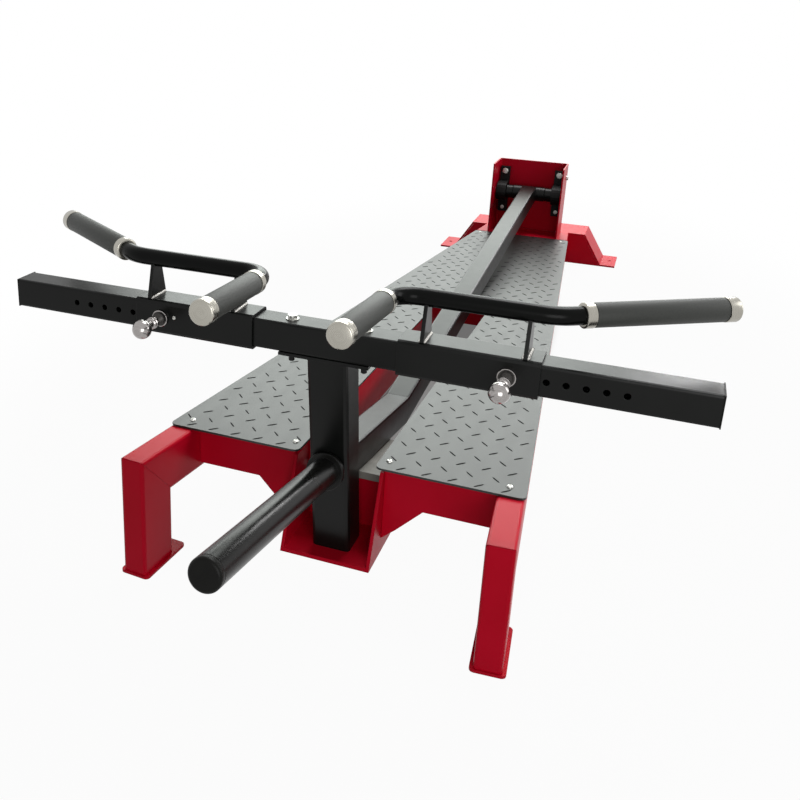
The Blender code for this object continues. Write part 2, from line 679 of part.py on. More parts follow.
def roundTube(name, path, radius, wall, material, segments=16):
    """A hollow round tube along a path, its rings turned with the least twist."""
    rings = []
    side = None
    for i, here in enumerate(path):
        before = path[max(i - 1, 0)]
        after = path[min(i + 1, len(path) - 1)]
        tangent = (after - before).normalized()
        side = (side or UP.cross(tangent)) - tangent * (side or UP.cross(tangent)).dot(tangent)
        side.normalize()
        lift = tangent.cross(side)
        rings.append((here, side.copy(), lift))
    points = []
    for r in (radius, radius - wall):
        for here, across, lift in rings:
            for k in range(segments):
                angle = 2 * math.pi * (k + 0.5) / segments
                points.append(here + across * r * math.cos(angle) + lift * r * math.sin(angle))
    count = len(rings)
    faces = []
    for shell in (0, 1):
        for i in range(count - 1):
            for k in range(segments):
                a = (shell * count + i) * segments
                b = a + segments
                faces.append((a + k, a + (k + 1) % segments, b + (k + 1) % segments, b + k))
    for end in (0, count - 1):
        for k in range(segments):
            a = end * segments
            b = (count + end) * segments
            faces.append((a + k, a + (k + 1) % segments, b + (k + 1) % segments, b + k))
    return makeObject(name, meshFrom(name, points, faces), material, True)


def makeGrip(name, end, along, length, rubber, metal):
    """A sleeve grip on a straight stretch of handle, held by a collar and an end cap."""
    bore = HANDLE_RADIUS + GAP
    capIn = CAP_LENGTH
    profile = ringProfile(GRIP_RADIUS, bore, capIn + GAP, length - COLLAR_LENGTH - GAP)
    turned(f"{name}_grip", profile, end, along, rubber)
    collar = ringProfile(CAP_RADIUS, bore, length - COLLAR_LENGTH, length)
    turned(f"{name}_grip_collar", collar, end, along, metal)
    cap = [(0, 0), (CAP_RADIUS - 0.004, 0), (CAP_RADIUS - 0.001, 0.0012), (CAP_RADIUS, 0.004),
           (CAP_RADIUS, capIn), (bore, capIn), (bore, CAP_FACE), (0, CAP_FACE)]
    turned(f"{name}_grip_cap", cap, end, along, metal)


def makeHandle(name, side, paint, rubber, metal):
    """One bent bar with a grip at each end, carried on two gusset plates."""
    flip = Vector((side, 1, 1))
    inner = Vector(INNER_GRIP_END) * flip
    outer = Vector(OUTER_GRIP_END) * flip
    innerCorner = Vector((side * HANDLE_INNER_X, BAR_Y, HANDLE_HEIGHT))
    outerCorner = Vector((side * HANDLE_OUTER_X, BAR_Y, HANDLE_HEIGHT))
    innerDir = (innerCorner - inner).normalized()
    outerDir = (outerCorner - outer).normalized()
    start = inner + innerDir * (CAP_FACE + GAP)
    stop = outer + outerDir * (CAP_FACE + GAP)
    path = fillet([start, innerCorner, outerCorner, stop], [INNER_BEND, OUTER_BEND], 6)
    roundTube(f"{name}_handle_bar", path, HANDLE_RADIUS, HANDLE_WALL, paint)
    makeGrip(f"{name}_inner", inner, innerDir, INNER_GRIP_LENGTH, rubber, metal)
    makeGrip(f"{name}_outer", outer, outerDir, OUTER_GRIP_LENGTH, rubber, metal)
    foot = BAR_Z + SLEEVE_SIZE / 2 + GAP
    saddleRadius = (HANDLE_RADIUS + GAP) * 1.006
    for place, x in (("inner", GUSSET_INNER_X), ("outer", GUSSET_OUTER_X)):
        low = foot
        high = HANDLE_HEIGHT
        halfFoot = GUSSET_FOOT / 2
        halfHead = GUSSET_HEAD / 2
        saddle = [(-halfFoot, low), (halfFoot, low)]
        begin = math.acos(halfHead / saddleRadius)
        for k in range(9):
            angle = -begin - (math.pi - 2 * begin) * k / 8
            saddle.append((saddleRadius * math.cos(angle), high + saddleRadius * math.sin(angle)))
        centreX = side * x

        def place2(a, b, end):
            return (centreX + GUSSET_PLATE * (0.5 if end else -0.5), BAR_Y + a, b)

        prism(f"{name}_{place}_gusset", saddle, place2, paint)


def pinSeat(side):
    """Where a pop pin's axis meets the sleeve's front face, and how deep the pin stands in the wall."""
    return Vector((side * PLUNGER_X, BAR_Y - SLEEVE_SIZE / 2, BAR_Z)), GAP - SLEEVE_WALL


def makeBarrel(name, side, zinc):
    """The threaded barrel that guides the pin through the sleeve's wall."""
    at, root = pinSeat(side)
    bore = PIN_RADIUS + RUNNING
    barrel = [(bore, root), (BARREL_RADIUS, root), (BARREL_RADIUS, GAP), (BARREL_FLANGE_RADIUS, GAP),
              (BARREL_FLANGE_RADIUS, 0.004), (BARREL_RADIUS, 0.005), (BARREL_RADIUS, BARREL_LENGTH - 0.001),
              (BARREL_RADIUS - 0.001, BARREL_LENGTH), (bore, BARREL_LENGTH)]
    turned(f"{name}_pin_barrel", barrel, at, -Y, zinc)


def makePin(name, side, metal):
    """The pin, its collar and the ball knob in one turned piece."""
    at, root = pinSeat(side)
    seat = BARREL_LENGTH + GAP
    r = KNOB_COLLAR_RADIUS
    neck = 0.0065
    profile = [(0, root), (PIN_RADIUS, root), (PIN_RADIUS, seat), (r - 0.001, seat), (r, seat + 0.001),
               (r, seat + 0.007), (r - 0.001, seat + 0.008), (neck, seat + 0.010)]
    begin = math.asin(neck / KNOB_RADIUS)
    for k in range(9):
        angle = begin + (math.pi - begin) * k / 8
        radius = 0 if k == 8 else KNOB_RADIUS * math.sin(angle)
        profile.append((radius, KNOB_REACH - KNOB_RADIUS * math.cos(angle)))
    turned(f"{name}_pop_pin", profile, at, -Y, metal)


def makeTower(paint):
    """The hinge tower: a bent plate open at the front and top, on a base plate across the rails."""
    w = TOWER_HALF_WIDTH
    t = TOWER_PLATE
    bend = TOWER_BEND
    outerArc = []
    innerArc = []
    for k in range(5):
        angle = math.pi / 2 * k / 4
        outerArc.append((w - bend + bend * math.cos(angle), TOWER_REAR - bend + bend * math.sin(angle)))
        innerArc.append((w - bend + (bend - t) * math.cos(angle),
                         TOWER_REAR - bend + (bend - t) * math.sin(angle)))
    right = [(w, TOWER_FRONT)] + outerArc
    left = [(-a, b) for a, b in reversed(right)]
    innerRight = [(w - t, TOWER_FRONT)] + innerArc
    innerLeft = [(-a, b) for a, b in reversed(innerRight)]
    outline = right + left + list(reversed(innerLeft)) + list(reversed(innerRight))
    railTop = deckZ(0) - DECK_THICKNESS
    slope = math.tan(DECK_SLOPE)

    def baseTop(y):
        return railTop - slope * y + TOWER_PLATE / math.cos(DECK_SLOPE)

    prism("tower", outline, lambda a, b, end: (a, b, TOWER_TOP if end else baseTop(b) + GAP), paint)
    front = DECK_LENGTH + TOWER_BASE_SETBACK
    frontHalf = deckHalfWidth(front) - TOWER_BASE_INSET
    rearHalf = deckHalfWidth(RAIL_REAR) - TOWER_BASE_INSET
    base = [(-frontHalf, front), (frontHalf, front), (rearHalf, RAIL_REAR), (-rearHalf, RAIL_REAR)]
    thickness = TOWER_PLATE / math.cos(DECK_SLOPE) - GAP
    prism("tower_base", base, lambda a, b, end: (a, b, baseTop(b) - (0 if end else thickness)), paint)


def makeBlocks(iron):
    """Pillow blocks on the tower's back plate."""
    backFace = TOWER_REAR - TOWER_PLATE - GAP
    halfBase = BEARING_BASE_LENGTH / 2
    head = BEARING_HEAD_RADIUS
    for name, side in SIDES:
        outline = [(0, -halfBase), (0, halfBase), (-BEARING_BASE_HEIGHT, halfBase)]
        outline += [(-BEARING_BASE_HEIGHT, head)]
        for k in range(9):
            angle = math.radians(60 - 120 * k / 8)
            outline.append((-PIVOT_DROP - head * math.cos(angle), head * math.sin(angle)))
        outline += [(-BEARING_BASE_HEIGHT, -head), (-BEARING_BASE_HEIGHT, -halfBase)]
        x = side * BEARING_X
        faces = (x - BEARING_WIDTH / 2, x + BEARING_WIDTH / 2)
        block = prism(f"{name}_bearing_block", outline,
                      lambda a, b, end: (faces[end], backFace + a, PIVOT_HEIGHT + b), iron)
        drill(block, f"{name}_block_bore", (x, PIVOT.y, PIVOT.z), X, BEARING_RING_RADIUS + RUNNING, 0.1, 24)


def makeShaft(steel):
    """The shaft and the bearing rings that turn with it."""
    turned("pivot_shaft", discProfile(SHAFT_RADIUS, -SHAFT_HALF_LENGTH, SHAFT_HALF_LENGTH), PIVOT, X, steel)
    width = BEARING_RING_WIDTH / 2
    for name, side in SIDES:
        ring = ringProfile(BEARING_RING_RADIUS, SHAFT_RADIUS + GAP, -width, width)
        turned(f"{name}_bearing_ring", ring, PIVOT + X * side * BEARING_X, X, steel)


def makeHub(paint):
    hub = ringProfile(HUB_RADIUS, SHAFT_RADIUS + GAP, -HUB_HALF_LENGTH, HUB_HALF_LENGTH)
    turned("lever_hub", hub, PIVOT, X, paint, 32)


def makeRearFoot(paint):
    """The rear foot: a plate bent over like a hat, with floor tabs and a web across its front."""
    t = FOOT_PLATE
    top = FOOT_HEIGHT
    a = FOOT_TOP_HALF
    b = FOOT_BOTTOM_HALF
    tab = b + FOOT_TAB
    run = b - a
    slopeLength = math.hypot(run, top)
    shift = t * slopeLength / top
    cornerIn = t * (slopeLength - top) / run
    innerA = a - t * math.tan(math.atan2(top, run) / 2)
    outerFoot = b + cornerIn * 0
    half = [(a, top), (outerFoot + 0.0, t), (tab, t), (tab, 0), (b - shift + t * run / top, 0),
            (innerA, top - t)]
    outline = half + [(-p, q) for p, q in reversed(half)]
    y0 = FOOT_FRONT
    y1 = FOOT_FRONT + FOOT_DEPTH
    foot = prism("rear_foot", outline, lambda u, v, end: (u, y1 if end else y0, v), paint)
    for name, side in SIDES:
        at = (side * (b + FOOT_TAB * 0.55), (y0 + y1) / 2, t / 2)
        drill(foot, f"{name}_foot_hole", at, UP, FOOT_HOLE_RADIUS, 0.05, 16)
    lower = b - shift + t * run / top - 0.0006
    web = [(-lower, 0.0), (lower, 0.0), (innerA - 0.0006, top - t - GAP), (-innerA + 0.0006, top - t - GAP)]
    prism("rear_foot_web", web, lambda u, v, end: (u, y0 + (t if end else 0), v), paint)


def main():
    clearScene()
    red = makeMaterial("red_powder_coat", (0.50, 0.010, 0.025), 0.35)
    black = makeMaterial("black_powder_coat", (0.012, 0.012, 0.013), 0.38)
    tread = makeMaterial("tread_plate", (0.18, 0.19, 0.19), 0.45, 0.3)
    rubber = makeMaterial("grip_rubber", (0.045, 0.047, 0.040), 0.75)
    grey = makeMaterial("grey_rubber", (0.20, 0.20, 0.19), 0.70)
    chrome = makeMaterial("chrome", (0.80, 0.80, 0.80), 0.12, 1.0)
    zinc = makeMaterial("zinc_plate", (0.62, 0.62, 0.60), 0.30, 1.0)
    iron = makeMaterial("cast_iron", (0.020, 0.020, 0.020), 0.60)
    steel = makeMaterial("bright_steel", (0.45, 0.45, 0.45), 0.35, 1.0)
    plastic = makeMaterial("black_plastic", (0.015, 0.015, 0.015), 0.50)
    base = makeEmpty("base", Vector((0, 0, 0)), None)
    fixed = built(makeDecks, tread) + built(makeRails, red) + built(makeInnerRails, red)
    fixed += built(makeCrossbeams, red) + built(makeCradle, red, grey) + built(makeRearFoot, red)
    fixed += built(makeTower, red) + built(makeBlocks, iron)
    carry(base, fixed)
    lever = makeEmpty("lever_pivot", PIVOT, base)
    lifted = built(makeShaft, steel) + built(makeHub, black) + built(makeLever, black)
    lifted += built(makePost, black) + built(makeSeatBolts, zinc) + built(makeBar, black, plastic)
    lifted += built(makeHorn, black, plastic)
    carry(lever, lifted)
    for name, side in SIDES:
        slider = makeEmpty(f"{name}_carriage_slide", Vector((side * PLUNGER_X, BAR_Y, BAR_Z)), lever)
        slid = built(makeSleeve, name, side, black) + built(makeHandle, name, side, black, rubber, chrome)
        carry(slider, slid + built(makeBarrel, name, side, zinc))
        puller = makeEmpty(f"{name}_pin_pull", pinSeat(side)[0], slider)
        carry(puller, built(makePin, name, side, chrome))
    bpy.context.view_layer.update()
    base.location.y = -middle()
    bpy.context.view_layer.update()


main()
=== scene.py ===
import json
import math

import bmesh
import bpy
import numpy as np
from mathutils import Matrix, Vector


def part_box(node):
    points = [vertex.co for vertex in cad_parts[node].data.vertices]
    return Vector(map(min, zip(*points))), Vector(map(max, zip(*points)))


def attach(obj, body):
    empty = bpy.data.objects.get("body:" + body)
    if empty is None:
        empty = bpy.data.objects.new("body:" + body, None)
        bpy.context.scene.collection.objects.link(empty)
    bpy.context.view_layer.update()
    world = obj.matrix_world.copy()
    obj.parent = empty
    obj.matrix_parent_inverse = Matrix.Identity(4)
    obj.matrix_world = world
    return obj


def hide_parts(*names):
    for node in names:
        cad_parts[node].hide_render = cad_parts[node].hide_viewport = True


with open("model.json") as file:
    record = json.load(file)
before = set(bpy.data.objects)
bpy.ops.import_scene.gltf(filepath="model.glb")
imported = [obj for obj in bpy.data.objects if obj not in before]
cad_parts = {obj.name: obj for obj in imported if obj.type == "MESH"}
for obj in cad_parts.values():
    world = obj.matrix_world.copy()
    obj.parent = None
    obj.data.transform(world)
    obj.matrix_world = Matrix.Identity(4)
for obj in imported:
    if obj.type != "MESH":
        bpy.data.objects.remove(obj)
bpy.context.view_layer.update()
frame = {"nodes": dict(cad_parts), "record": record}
nodes = frame["nodes"]

# Lengths below are measured from the deck's front edge; deckFront is where that edge stands.
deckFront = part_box("left_deck_plate")[0][1]
sides = (("left", -1), ("right", 1))


def linearColour(hexText):
    # sRGB hex to linear: c / 12.92 in the dark part, ((c + 0.055) / 1.055) ** 2.4 above it
    channels = np.array([int(hexText[i:i + 2], 16) for i in (1, 3, 5)]) / 255
    return (*np.where(channels <= 0.04045, channels / 12.92, ((channels + 0.055) / 1.055) ** 2.4), 1.0)


def addNode(tree, kind, settings=None, links=None):
    # One node with its settings; a key that is no attribute of the node names an input
    node = tree.nodes.new(kind)
    for key, value in (settings or {}).items():
        if hasattr(node, key):
            setattr(node, key, value)
        else:
            node.inputs[key].default_value = value
    for key, output in (links or {}).items():
        tree.links.new(output, node.inputs[key])
    return node


def newMaterial(name):
    material = bpy.data.materials.new(name)
    material.use_nodes = True
    tree = material.node_tree
    shader = tree.nodes["Principled BSDF"]
    place = addNode(tree, "ShaderNodeTexCoord")
    return material, tree, shader, place


def perMetre(millimetres):
    # A noise or wave scale whose features are this many millimetres apart
    return 1000.0 / millimetres


# Paints, mouldings and metals

# Distances between features are in millimetres: a slow drift of colour, marks of handling, and the ripple,
# which is about 1 mm across on a real coat and is drawn at 2.6 mm so that it shows. Its height is in metres.
# Handling takes the roughness a little below and above that of the paint.
powder = {"drift": 170, "handling": 24, "ripple": 2.6, "height": 0.0004, "stops": (0.30, 0.72),
          "glossier": 0.05, "duller": 0.06}


def powderCoat(name, look):
    # Baked polyester powder: an even colour under a slightly rippled skin like orange peel,
    # so highlights break up softly and edges catch a thin bright line
    material, tree, shader, place = newMaterial(name)
    drift = addNode(tree, "ShaderNodeTexNoise", {"Scale": perMetre(powder["drift"]), "Detail": 2.0},
                    {"Vector": place.outputs["Object"]})
    shade = addNode(tree, "ShaderNodeValToRGB", None, {"Fac": drift.outputs["Fac"]})
    for stop, at, tone in zip(shade.color_ramp.elements, powder["stops"], ("dark", "light")):
        stop.position, stop.color = at, linearColour(look[tone])
    handling = addNode(tree, "ShaderNodeTexNoise",
                       {"Scale": perMetre(powder["handling"]), "Detail": 4.0, "Roughness": 0.6},
                       {"Vector": place.outputs["Object"]})
    gloss = addNode(tree, "ShaderNodeMapRange", {"To Min": look["roughness"] - powder["glossier"],
                                                 "To Max": look["roughness"] + powder["duller"]},
                    {"Value": handling.outputs["Fac"]})
    ripple = addNode(tree, "ShaderNodeTexNoise", {"Scale": perMetre(powder["ripple"]), "Detail": 1.5},
                     {"Vector": place.outputs["Object"]})
    edge = addNode(tree, "ShaderNodeBevel", {"samples": 6, "Radius": look["edge"]})
    bump = addNode(tree, "ShaderNodeBump", {"Strength": look["peel"], "Distance": powder["height"]},
                   {"Height": ripple.outputs["Fac"], "Normal": edge.outputs["Normal"]})
    tree.links.new(shade.outputs["Color"], shader.inputs["Base Color"])
    tree.links.new(gloss.outputs["Result"], shader.inputs["Roughness"])
    tree.links.new(bump.outputs["Normal"], shader.inputs["Normal"])
    shader.inputs["IOR"].default_value = look["ior"]
    return material


redPaint = {"dark": "#BA0620", "light": "#C80A29", "roughness": 0.34, "peel": 0.10, "edge": 0.0018, "ior": 1.17}
blackPaint = {"dark": "#0D0E0D", "light": "#141514", "roughness": 0.30, "peel": 0.12, "edge": 0.0014, "ior": 1.25}
# The handles' round tubes have a smoother, deeper black than the box sections, and the horn's sleeve
# is worn nearly smooth by the plates
tubePaint = {"dark": "#080908", "light": "#0C0D0C", "roughness": 0.24, "peel": 0.05, "edge": 0.0010, "ior": 1.17}
sleevePaint = {"dark": "#0A0A09", "light": "#0F0F0D", "roughness": 0.28, "peel": 0.01, "edge": 0.0010, "ior": 1.27}

# Scuffs and grit are in millimetres. Grit of about 0.4 mm is drawn at 1.6 mm so that it shows.
sheet = {"dark": "#1D1E1D", "light": "#2A2B2A", "stops": (0.28, 0.74), "scuff": 26, "stretch": 0.22,
         "grit": 1.6, "relief": 0.16, "height": 0.0004, "glossiest": 0.34, "dullest": 0.48, "ior": 1.42}


def treadSheet(look):
    # Rolled steel deck under a satin black coat: nearly black from above, pale and cloudy where it is
    # seen low against the light, with boot scuffs that run lengthwise
    material, tree, shader, place = newMaterial("coatedTreadSteel")
    stretch = addNode(tree, "ShaderNodeMapping", {"Scale": (1.0, look["stretch"], 1.0)},
                      {"Vector": place.outputs["Object"]})
    scuff = addNode(tree, "ShaderNodeTexNoise", {"Scale": perMetre(look["scuff"]), "Detail": 5.0, "Roughness": 0.62},
                    {"Vector": stretch.outputs["Vector"]})
    shade = addNode(tree, "ShaderNodeValToRGB", None, {"Fac": scuff.outputs["Fac"]})
    for stop, at, tone in zip(shade.color_ramp.elements, look["stops"], ("dark", "light")):
        stop.position, stop.color = at, linearColour(look[tone])
    grit = addNode(tree, "ShaderNodeTexNoise", {"Scale": perMetre(look["grit"]), "Detail": 2.0},
                   {"Vector": place.outputs["Object"]})
    bump = addNode(tree, "ShaderNodeBump", {"Strength": look["relief"], "Distance": look["height"]},
                   {"Height": grit.outputs["Fac"]})
    gloss = addNode(tree, "ShaderNodeMapRange", {"To Min": look["glossiest"], "To Max": look["dullest"]},
                    {"Value": scuff.outputs["Fac"]})
    tree.links.new(shade.outputs["Color"], shader.inputs["Base Color"])
    tree.links.new(gloss.outputs["Result"], shader.inputs["Roughness"])
    tree.links.new(bump.outputs["Normal"], shader.inputs["Normal"])
    shader.inputs["IOR"].default_value = look["ior"]
    return material


mould = {"stops": (0.30, 0.70), "height": 0.0005, "ior": 1.5}


def mouldedSkin(name, look):
    # Rubber, foam or plastic from a mould: dull, with a fine even grain
    material, tree, shader, place = newMaterial(name)
    drift = addNode(tree, "ShaderNodeTexNoise", {"Scale": perMetre(look["blotch"]), "Detail": 3.0},
                    {"Vector": place.outputs["Object"]})
    shade = addNode(tree, "ShaderNodeValToRGB", None, {"Fac": drift.outputs["Fac"]})
    for stop, at, tone in zip(shade.color_ramp.elements, mould["stops"], ("dark", "light")):
        stop.position, stop.color = at, linearColour(look[tone])
    grain = addNode(tree, "ShaderNodeTexNoise", {"Scale": perMetre(look["grain"]), "Detail": 2.0},
                    {"Vector": place.outputs["Object"]})
    bump = addNode(tree, "ShaderNodeBump", {"Strength": look["relief"], "Distance": mould["height"]},
                   {"Height": grain.outputs["Fac"]})
    tree.links.new(shade.outputs["Color"], shader.inputs["Base Color"])
    tree.links.new(bump.outputs["Normal"], shader.inputs["Normal"])
    shader.inputs["Roughness"].default_value = look["roughness"]
    shader.inputs["IOR"].default_value = look.get("ior", mould["ior"])
    return material


# Turned marks are squeezed along u, which runs round the piece, so that they draw out into rings
metal = {"stops": (0.25, 0.75), "squeeze": 0.02, "glossier": 0.8, "duller": 1.25, "height": 0.0002}


def bareMetal(name, look):
    # Uncoated metal: its tool marks run round each turned piece, or a fine grain where it was rolled
    material, tree, shader, place = newMaterial(name)
    shader.inputs["Metallic"].default_value = 1.0
    if look["turned"]:
        vector = addNode(tree, "ShaderNodeUVMap", {"uv_map": "surface"}).outputs["UV"]
        squeeze = addNode(tree, "ShaderNodeMapping", {"Scale": (metal["squeeze"], 1.0, 1.0)}, {"Vector": vector})
        vector = squeeze.outputs["Vector"]
    else:
        vector = place.outputs["Object"]
    marks = addNode(tree, "ShaderNodeTexNoise", {"Scale": perMetre(look["marks"]), "Detail": 3.0}, {"Vector": vector})
    shade = addNode(tree, "ShaderNodeValToRGB", None, {"Fac": marks.outputs["Fac"]})
    for stop, at, tone in zip(shade.color_ramp.elements, metal["stops"], ("dark", "light")):
        stop.position, stop.color = at, linearColour(look[tone])
    gloss = addNode(tree, "ShaderNodeMapRange", {"To Min": look["roughness"] * metal["glossier"],
                                                 "To Max": look["roughness"] * metal["duller"]},
                    {"Value": marks.outputs["Fac"]})
    bump = addNode(tree, "ShaderNodeBump", {"Strength": look["relief"], "Distance": metal["height"]},
                   {"Height": marks.outputs["Fac"]})
    tree.links.new(shade.outputs["Color"], shader.inputs["Base Color"])
    tree.links.new(gloss.outputs["Result"], shader.inputs["Roughness"])
    tree.links.new(bump.outputs["Normal"], shader.inputs["Normal"])
    return material


redCoat = powderCoat("redPowderCoat", redPaint)  # base frame: a deep even red, with pale lines along its folds
blackCoat = powderCoat("blackPowderCoat", blackPaint)  # box tubes: satin black that greys where it faces the light
tubeCoat = powderCoat("satinBlackTubeCoat", tubePaint)  # handles: one narrow highlight follows each bend
sleeveCoat = powderCoat("polishedBlackSleeveCoat", sleevePaint)  # horn: a long soft streak on a smooth barrel
deckCoat = treadSheet(sheet)
# Paint on the raised bars: darker than the sheet as painted shade for the shadow on their flanks, and with less gloss,
# so they stay dark where the sheet turns pale
barPaintedShadeCoat = mouldedSkin("treadBarPaintedShade", {"dark": "#0A0B0A", "light": "#121312", "blotch": 12, "grain": 1.4,
                                        "relief": 0.2, "roughness": 0.50, "ior": 1.15})
# Extruded nitrile foam: matt and dark grey, with fine pores
gripFoam = mouldedSkin("nitrileGripFoam", {"dark": "#272926", "light": "#2F312D", "blotch": 2.6, "grain": 1.3,
                                           "relief": 0.20, "roughness": 0.60})
# Moulded sheet of the neck rest: pale, flat grey that takes soft shadows
restSheet = mouldedSkin("restPadGrey", {"dark": "#6D6C66", "light": "#7F7E77", "blotch": 30, "grain": 1.8,
                                        "relief": 0.25, "roughness": 0.60})
# Injection-moulded polyethylene: black and a little waxy, with a weak broad sheen
plugPlastic = mouldedSkin("mouldedPolyethylene", {"dark": "#0B0B0A", "light": "#11110F", "blotch": 20, "grain": 1.2,
                                                  "relief": 0.20, "roughness": 0.40, "ior": 1.20})
# Sand-cast iron under black paint: a coarse grain breaks up the gloss
castIron = mouldedSkin("paintedCastIron", {"dark": "#0A0A0A", "light": "#121212", "blotch": 16, "grain": 2.2,
                                           "relief": 0.45, "roughness": 0.50, "ior": 1.25})
# Lathe-turned aluminium: warm and pale, with fine rings round each cap
turnedAluminium = bareMetal("turnedAluminium", {"dark": "#9E9B92", "light": "#ACA9A0", "marks": 1.4, "relief": 0.04,
                                                "roughness": 0.26, "turned": True})
# Turned and buffed steel: bright, with a clear image of the light in each ball
polishedSteel = bareMetal("polishedSteel", {"dark": "#918D8B", "light": "#A6A2A0", "marks": 2.0, "relief": 0.03,
                                            "roughness": 0.20, "turned": True})
# Electroplated zinc on headed bolts: pale and slightly uneven
zincPlate = bareMetal("zincPlate", {"dark": "#B4B4AF", "light": "#D2D2CD", "marks": 1.5, "relief": 0.12,
                                    "roughness": 0.30, "turned": False})
# Centreless-ground shaft steel: greyer and more even than the zinc
groundSteel = bareMetal("groundSteel", {"dark": "#8B8A88", "light": "#A9A8A6", "marks": 1.2, "relief": 0.10,
                                        "roughness": 0.32, "turned": False})
# Oil-blackened steel thread: dark, with dull glints on its crests
threadSteel = bareMetal("blackenedThread", {"dark": "#2B2A29", "light": "#4A4846", "marks": 1.0, "relief": 0.10,
                                            "roughness": 0.35, "turned": False})
# Weld bead: rippled and half dull, and pale metal as a painted highlight for the bright line each bead catches at a
# gusset's foot
weldHighlightMetal = bareMetal("paleWeldHighlight", {"dark": "#8E8C88", "light": "#C6C4BF", "marks": 1.6, "relief": 0.35,
                                   "roughness": 0.42, "turned": False})

finishes = {"red_paint": redCoat, "black_paint": blackCoat, "tread_plate": deckCoat,
            "rest_pad": restSheet, "grip_rubber": gripFoam, "grip_metal": turnedAluminium,
            "polished_steel": polishedSteel, "zinc_steel": zincPlate, "bearing_iron": castIron,
            "bright_steel": groundSteel, "black_plastic": plugPlastic}
for part in frame["record"]["subparts"]:
    held = nodes[part["node"]].data.materials
    held.clear()
    held.append(finishes[part["material_slot"]])
print("materials:", len(bpy.data.materials))


# Surfaces


def meshPiece(name, points, faces, material):
    mesh = bpy.data.meshes.new(name)
    mesh.from_pydata(points.reshape(-1, 3), [], faces)
    mesh.materials.append(material)
    piece = bpy.data.objects.new(name, mesh)
    bpy.context.scene.collection.objects.link(piece)
    return piece


def gridPiece(name, points, material, wrapped=False, uv=None):
    # points is an (m, n, 3) array; neighbours make quads, and a wrapped row closes on itself
    rows, columns = points.shape[:2]
    index = np.arange(rows * columns).reshape(rows, columns)
    a, b = np.meshgrid(np.arange(rows - 1), np.arange(columns if wrapped else columns - 1), indexing="ij")
    across = (b + 1) % columns
    faces = np.stack([index[a, b], index[a, across], index[a + 1, across], index[a + 1, b]], -1).reshape(-1, 4)
    piece = meshPiece(name, points, faces, material)
    if uv is not None:
        layer = piece.data.uv_layers.new(name="surface")
        corner = np.stack([uv[a, b], uv[a, b + 1], uv[a + 1, b + 1], uv[a + 1, b]], -2).reshape(-1, 2)
        layer.data.foreach_set("uv", corner.astype(np.float32).ravel())
    return piece


def sealed(piece, angle=32.0):
    # Merges the poles, turns every face outwards and keeps only the edges past the angle sharp
    work = bmesh.new()
    work.from_mesh(piece.data)
    bmesh.ops.remove_doubles(work, verts=work.verts, dist=1e-6)
    bmesh.ops.dissolve_degenerate(work, edges=work.edges, dist=1e-7)
    bmesh.ops.recalc_face_normals(work, faces=work.faces)
    work.to_mesh(piece.data)
    work.free()
    piece.data.shade_smooth()
    piece.data.set_sharp_from_angle(angle=math.radians(angle))
    return piece


def softened(piece, width, angle=28.0):
    # Rounds the edges past the angle with three narrow facets
    bevel = piece.modifiers.new("softened", "BEVEL")
    bevel.width = width
    bevel.segments = 3
    bevel.limit_method = "ANGLE"
    bevel.angle_limit = math.radians(angle)
    bevel.harden_normals = True
    return piece


def axisFrame(axis):
    # The axis as a unit vector, and two more square to it and to each other
    axis = np.array(axis, float) / np.linalg.norm(axis)
    helper = np.array((0.0, 0.0, 1.0)) if abs(axis[2]) < 0.9 else np.array((0.0, 1.0, 0.0))
    side = np.cross(helper, axis)
    side /= np.linalg.norm(side)
    return axis, side, np.cross(axis, side)


def turnedPiece(name, profile, origin, axis, material, around, hexed=None):
    # A (radius, distance) profile carried round an axis. The point at angle t is
    # origin + axis * distance + radius * k(t) * (side * cos t + lift * sin t). k is 1 on round
    # rows; on rows marked in hexed it is cos 30 / cos(t mod 60 - 30), which makes six flats.
    profile = np.array(profile, float)
    axis, side, lift = axisFrame(axis)
    t = np.linspace(0, 2 * np.pi, around, endpoint=False)
    flats = np.cos(np.pi / 6) / np.cos(np.mod(t, np.pi / 3) - np.pi / 6)
    mark = np.zeros(len(profile)) if hexed is None else np.array(hexed, float)
    k = 1 + mark[:, None] * (flats[None, :] - 1)
    ring = side * np.cos(t)[:, None] + lift * np.sin(t)[:, None]
    points = np.array(origin) + axis * profile[:, 1, None, None] + (profile[:, 0, None] * k)[..., None] * ring
    run = np.concatenate([[0], np.cumsum(np.linalg.norm(np.diff(profile, axis=0), axis=1))])
    u = np.linspace(0, 2 * np.pi * profile[:, 0].max(), around + 1)
    uv = np.stack(np.meshgrid(u, run), -1)
    return sealed(gridPiece(name, points, material, wrapped=True, uv=uv))


def sweptPiece(name, path, radius, material, around):
    # A circle carried along a path. Ring i is path[i] + r[i] * (side * cos t + up * sin t), with
    # side = world up x tangent. The first and last rings are points, which closes the ends.
    path = np.array(path, float)
    tangent = np.gradient(path, axis=0)
    tangent /= np.linalg.norm(tangent, axis=1)[:, None]
    side = np.cross(np.array((0.0, 0.0, 1.0)), tangent)
    side /= np.linalg.norm(side, axis=1)[:, None]
    up = np.cross(tangent, side)
    radius = np.broadcast_to(np.asarray(radius, float), len(path))
    path, side, up = (np.concatenate([rows[:1], rows, rows[-1:]]) for rows in (path, side, up))
    radius = np.concatenate([[0], radius, [0]])
    t = np.linspace(0, 2 * np.pi, around, endpoint=False)
    ring = side[:, None] * np.cos(t)[:, None] + up[:, None] * np.sin(t)[:, None]
    points = path[:, None] + radius[:, None, None] * ring
    return sealed(gridPiece(name, points, material, wrapped=True))


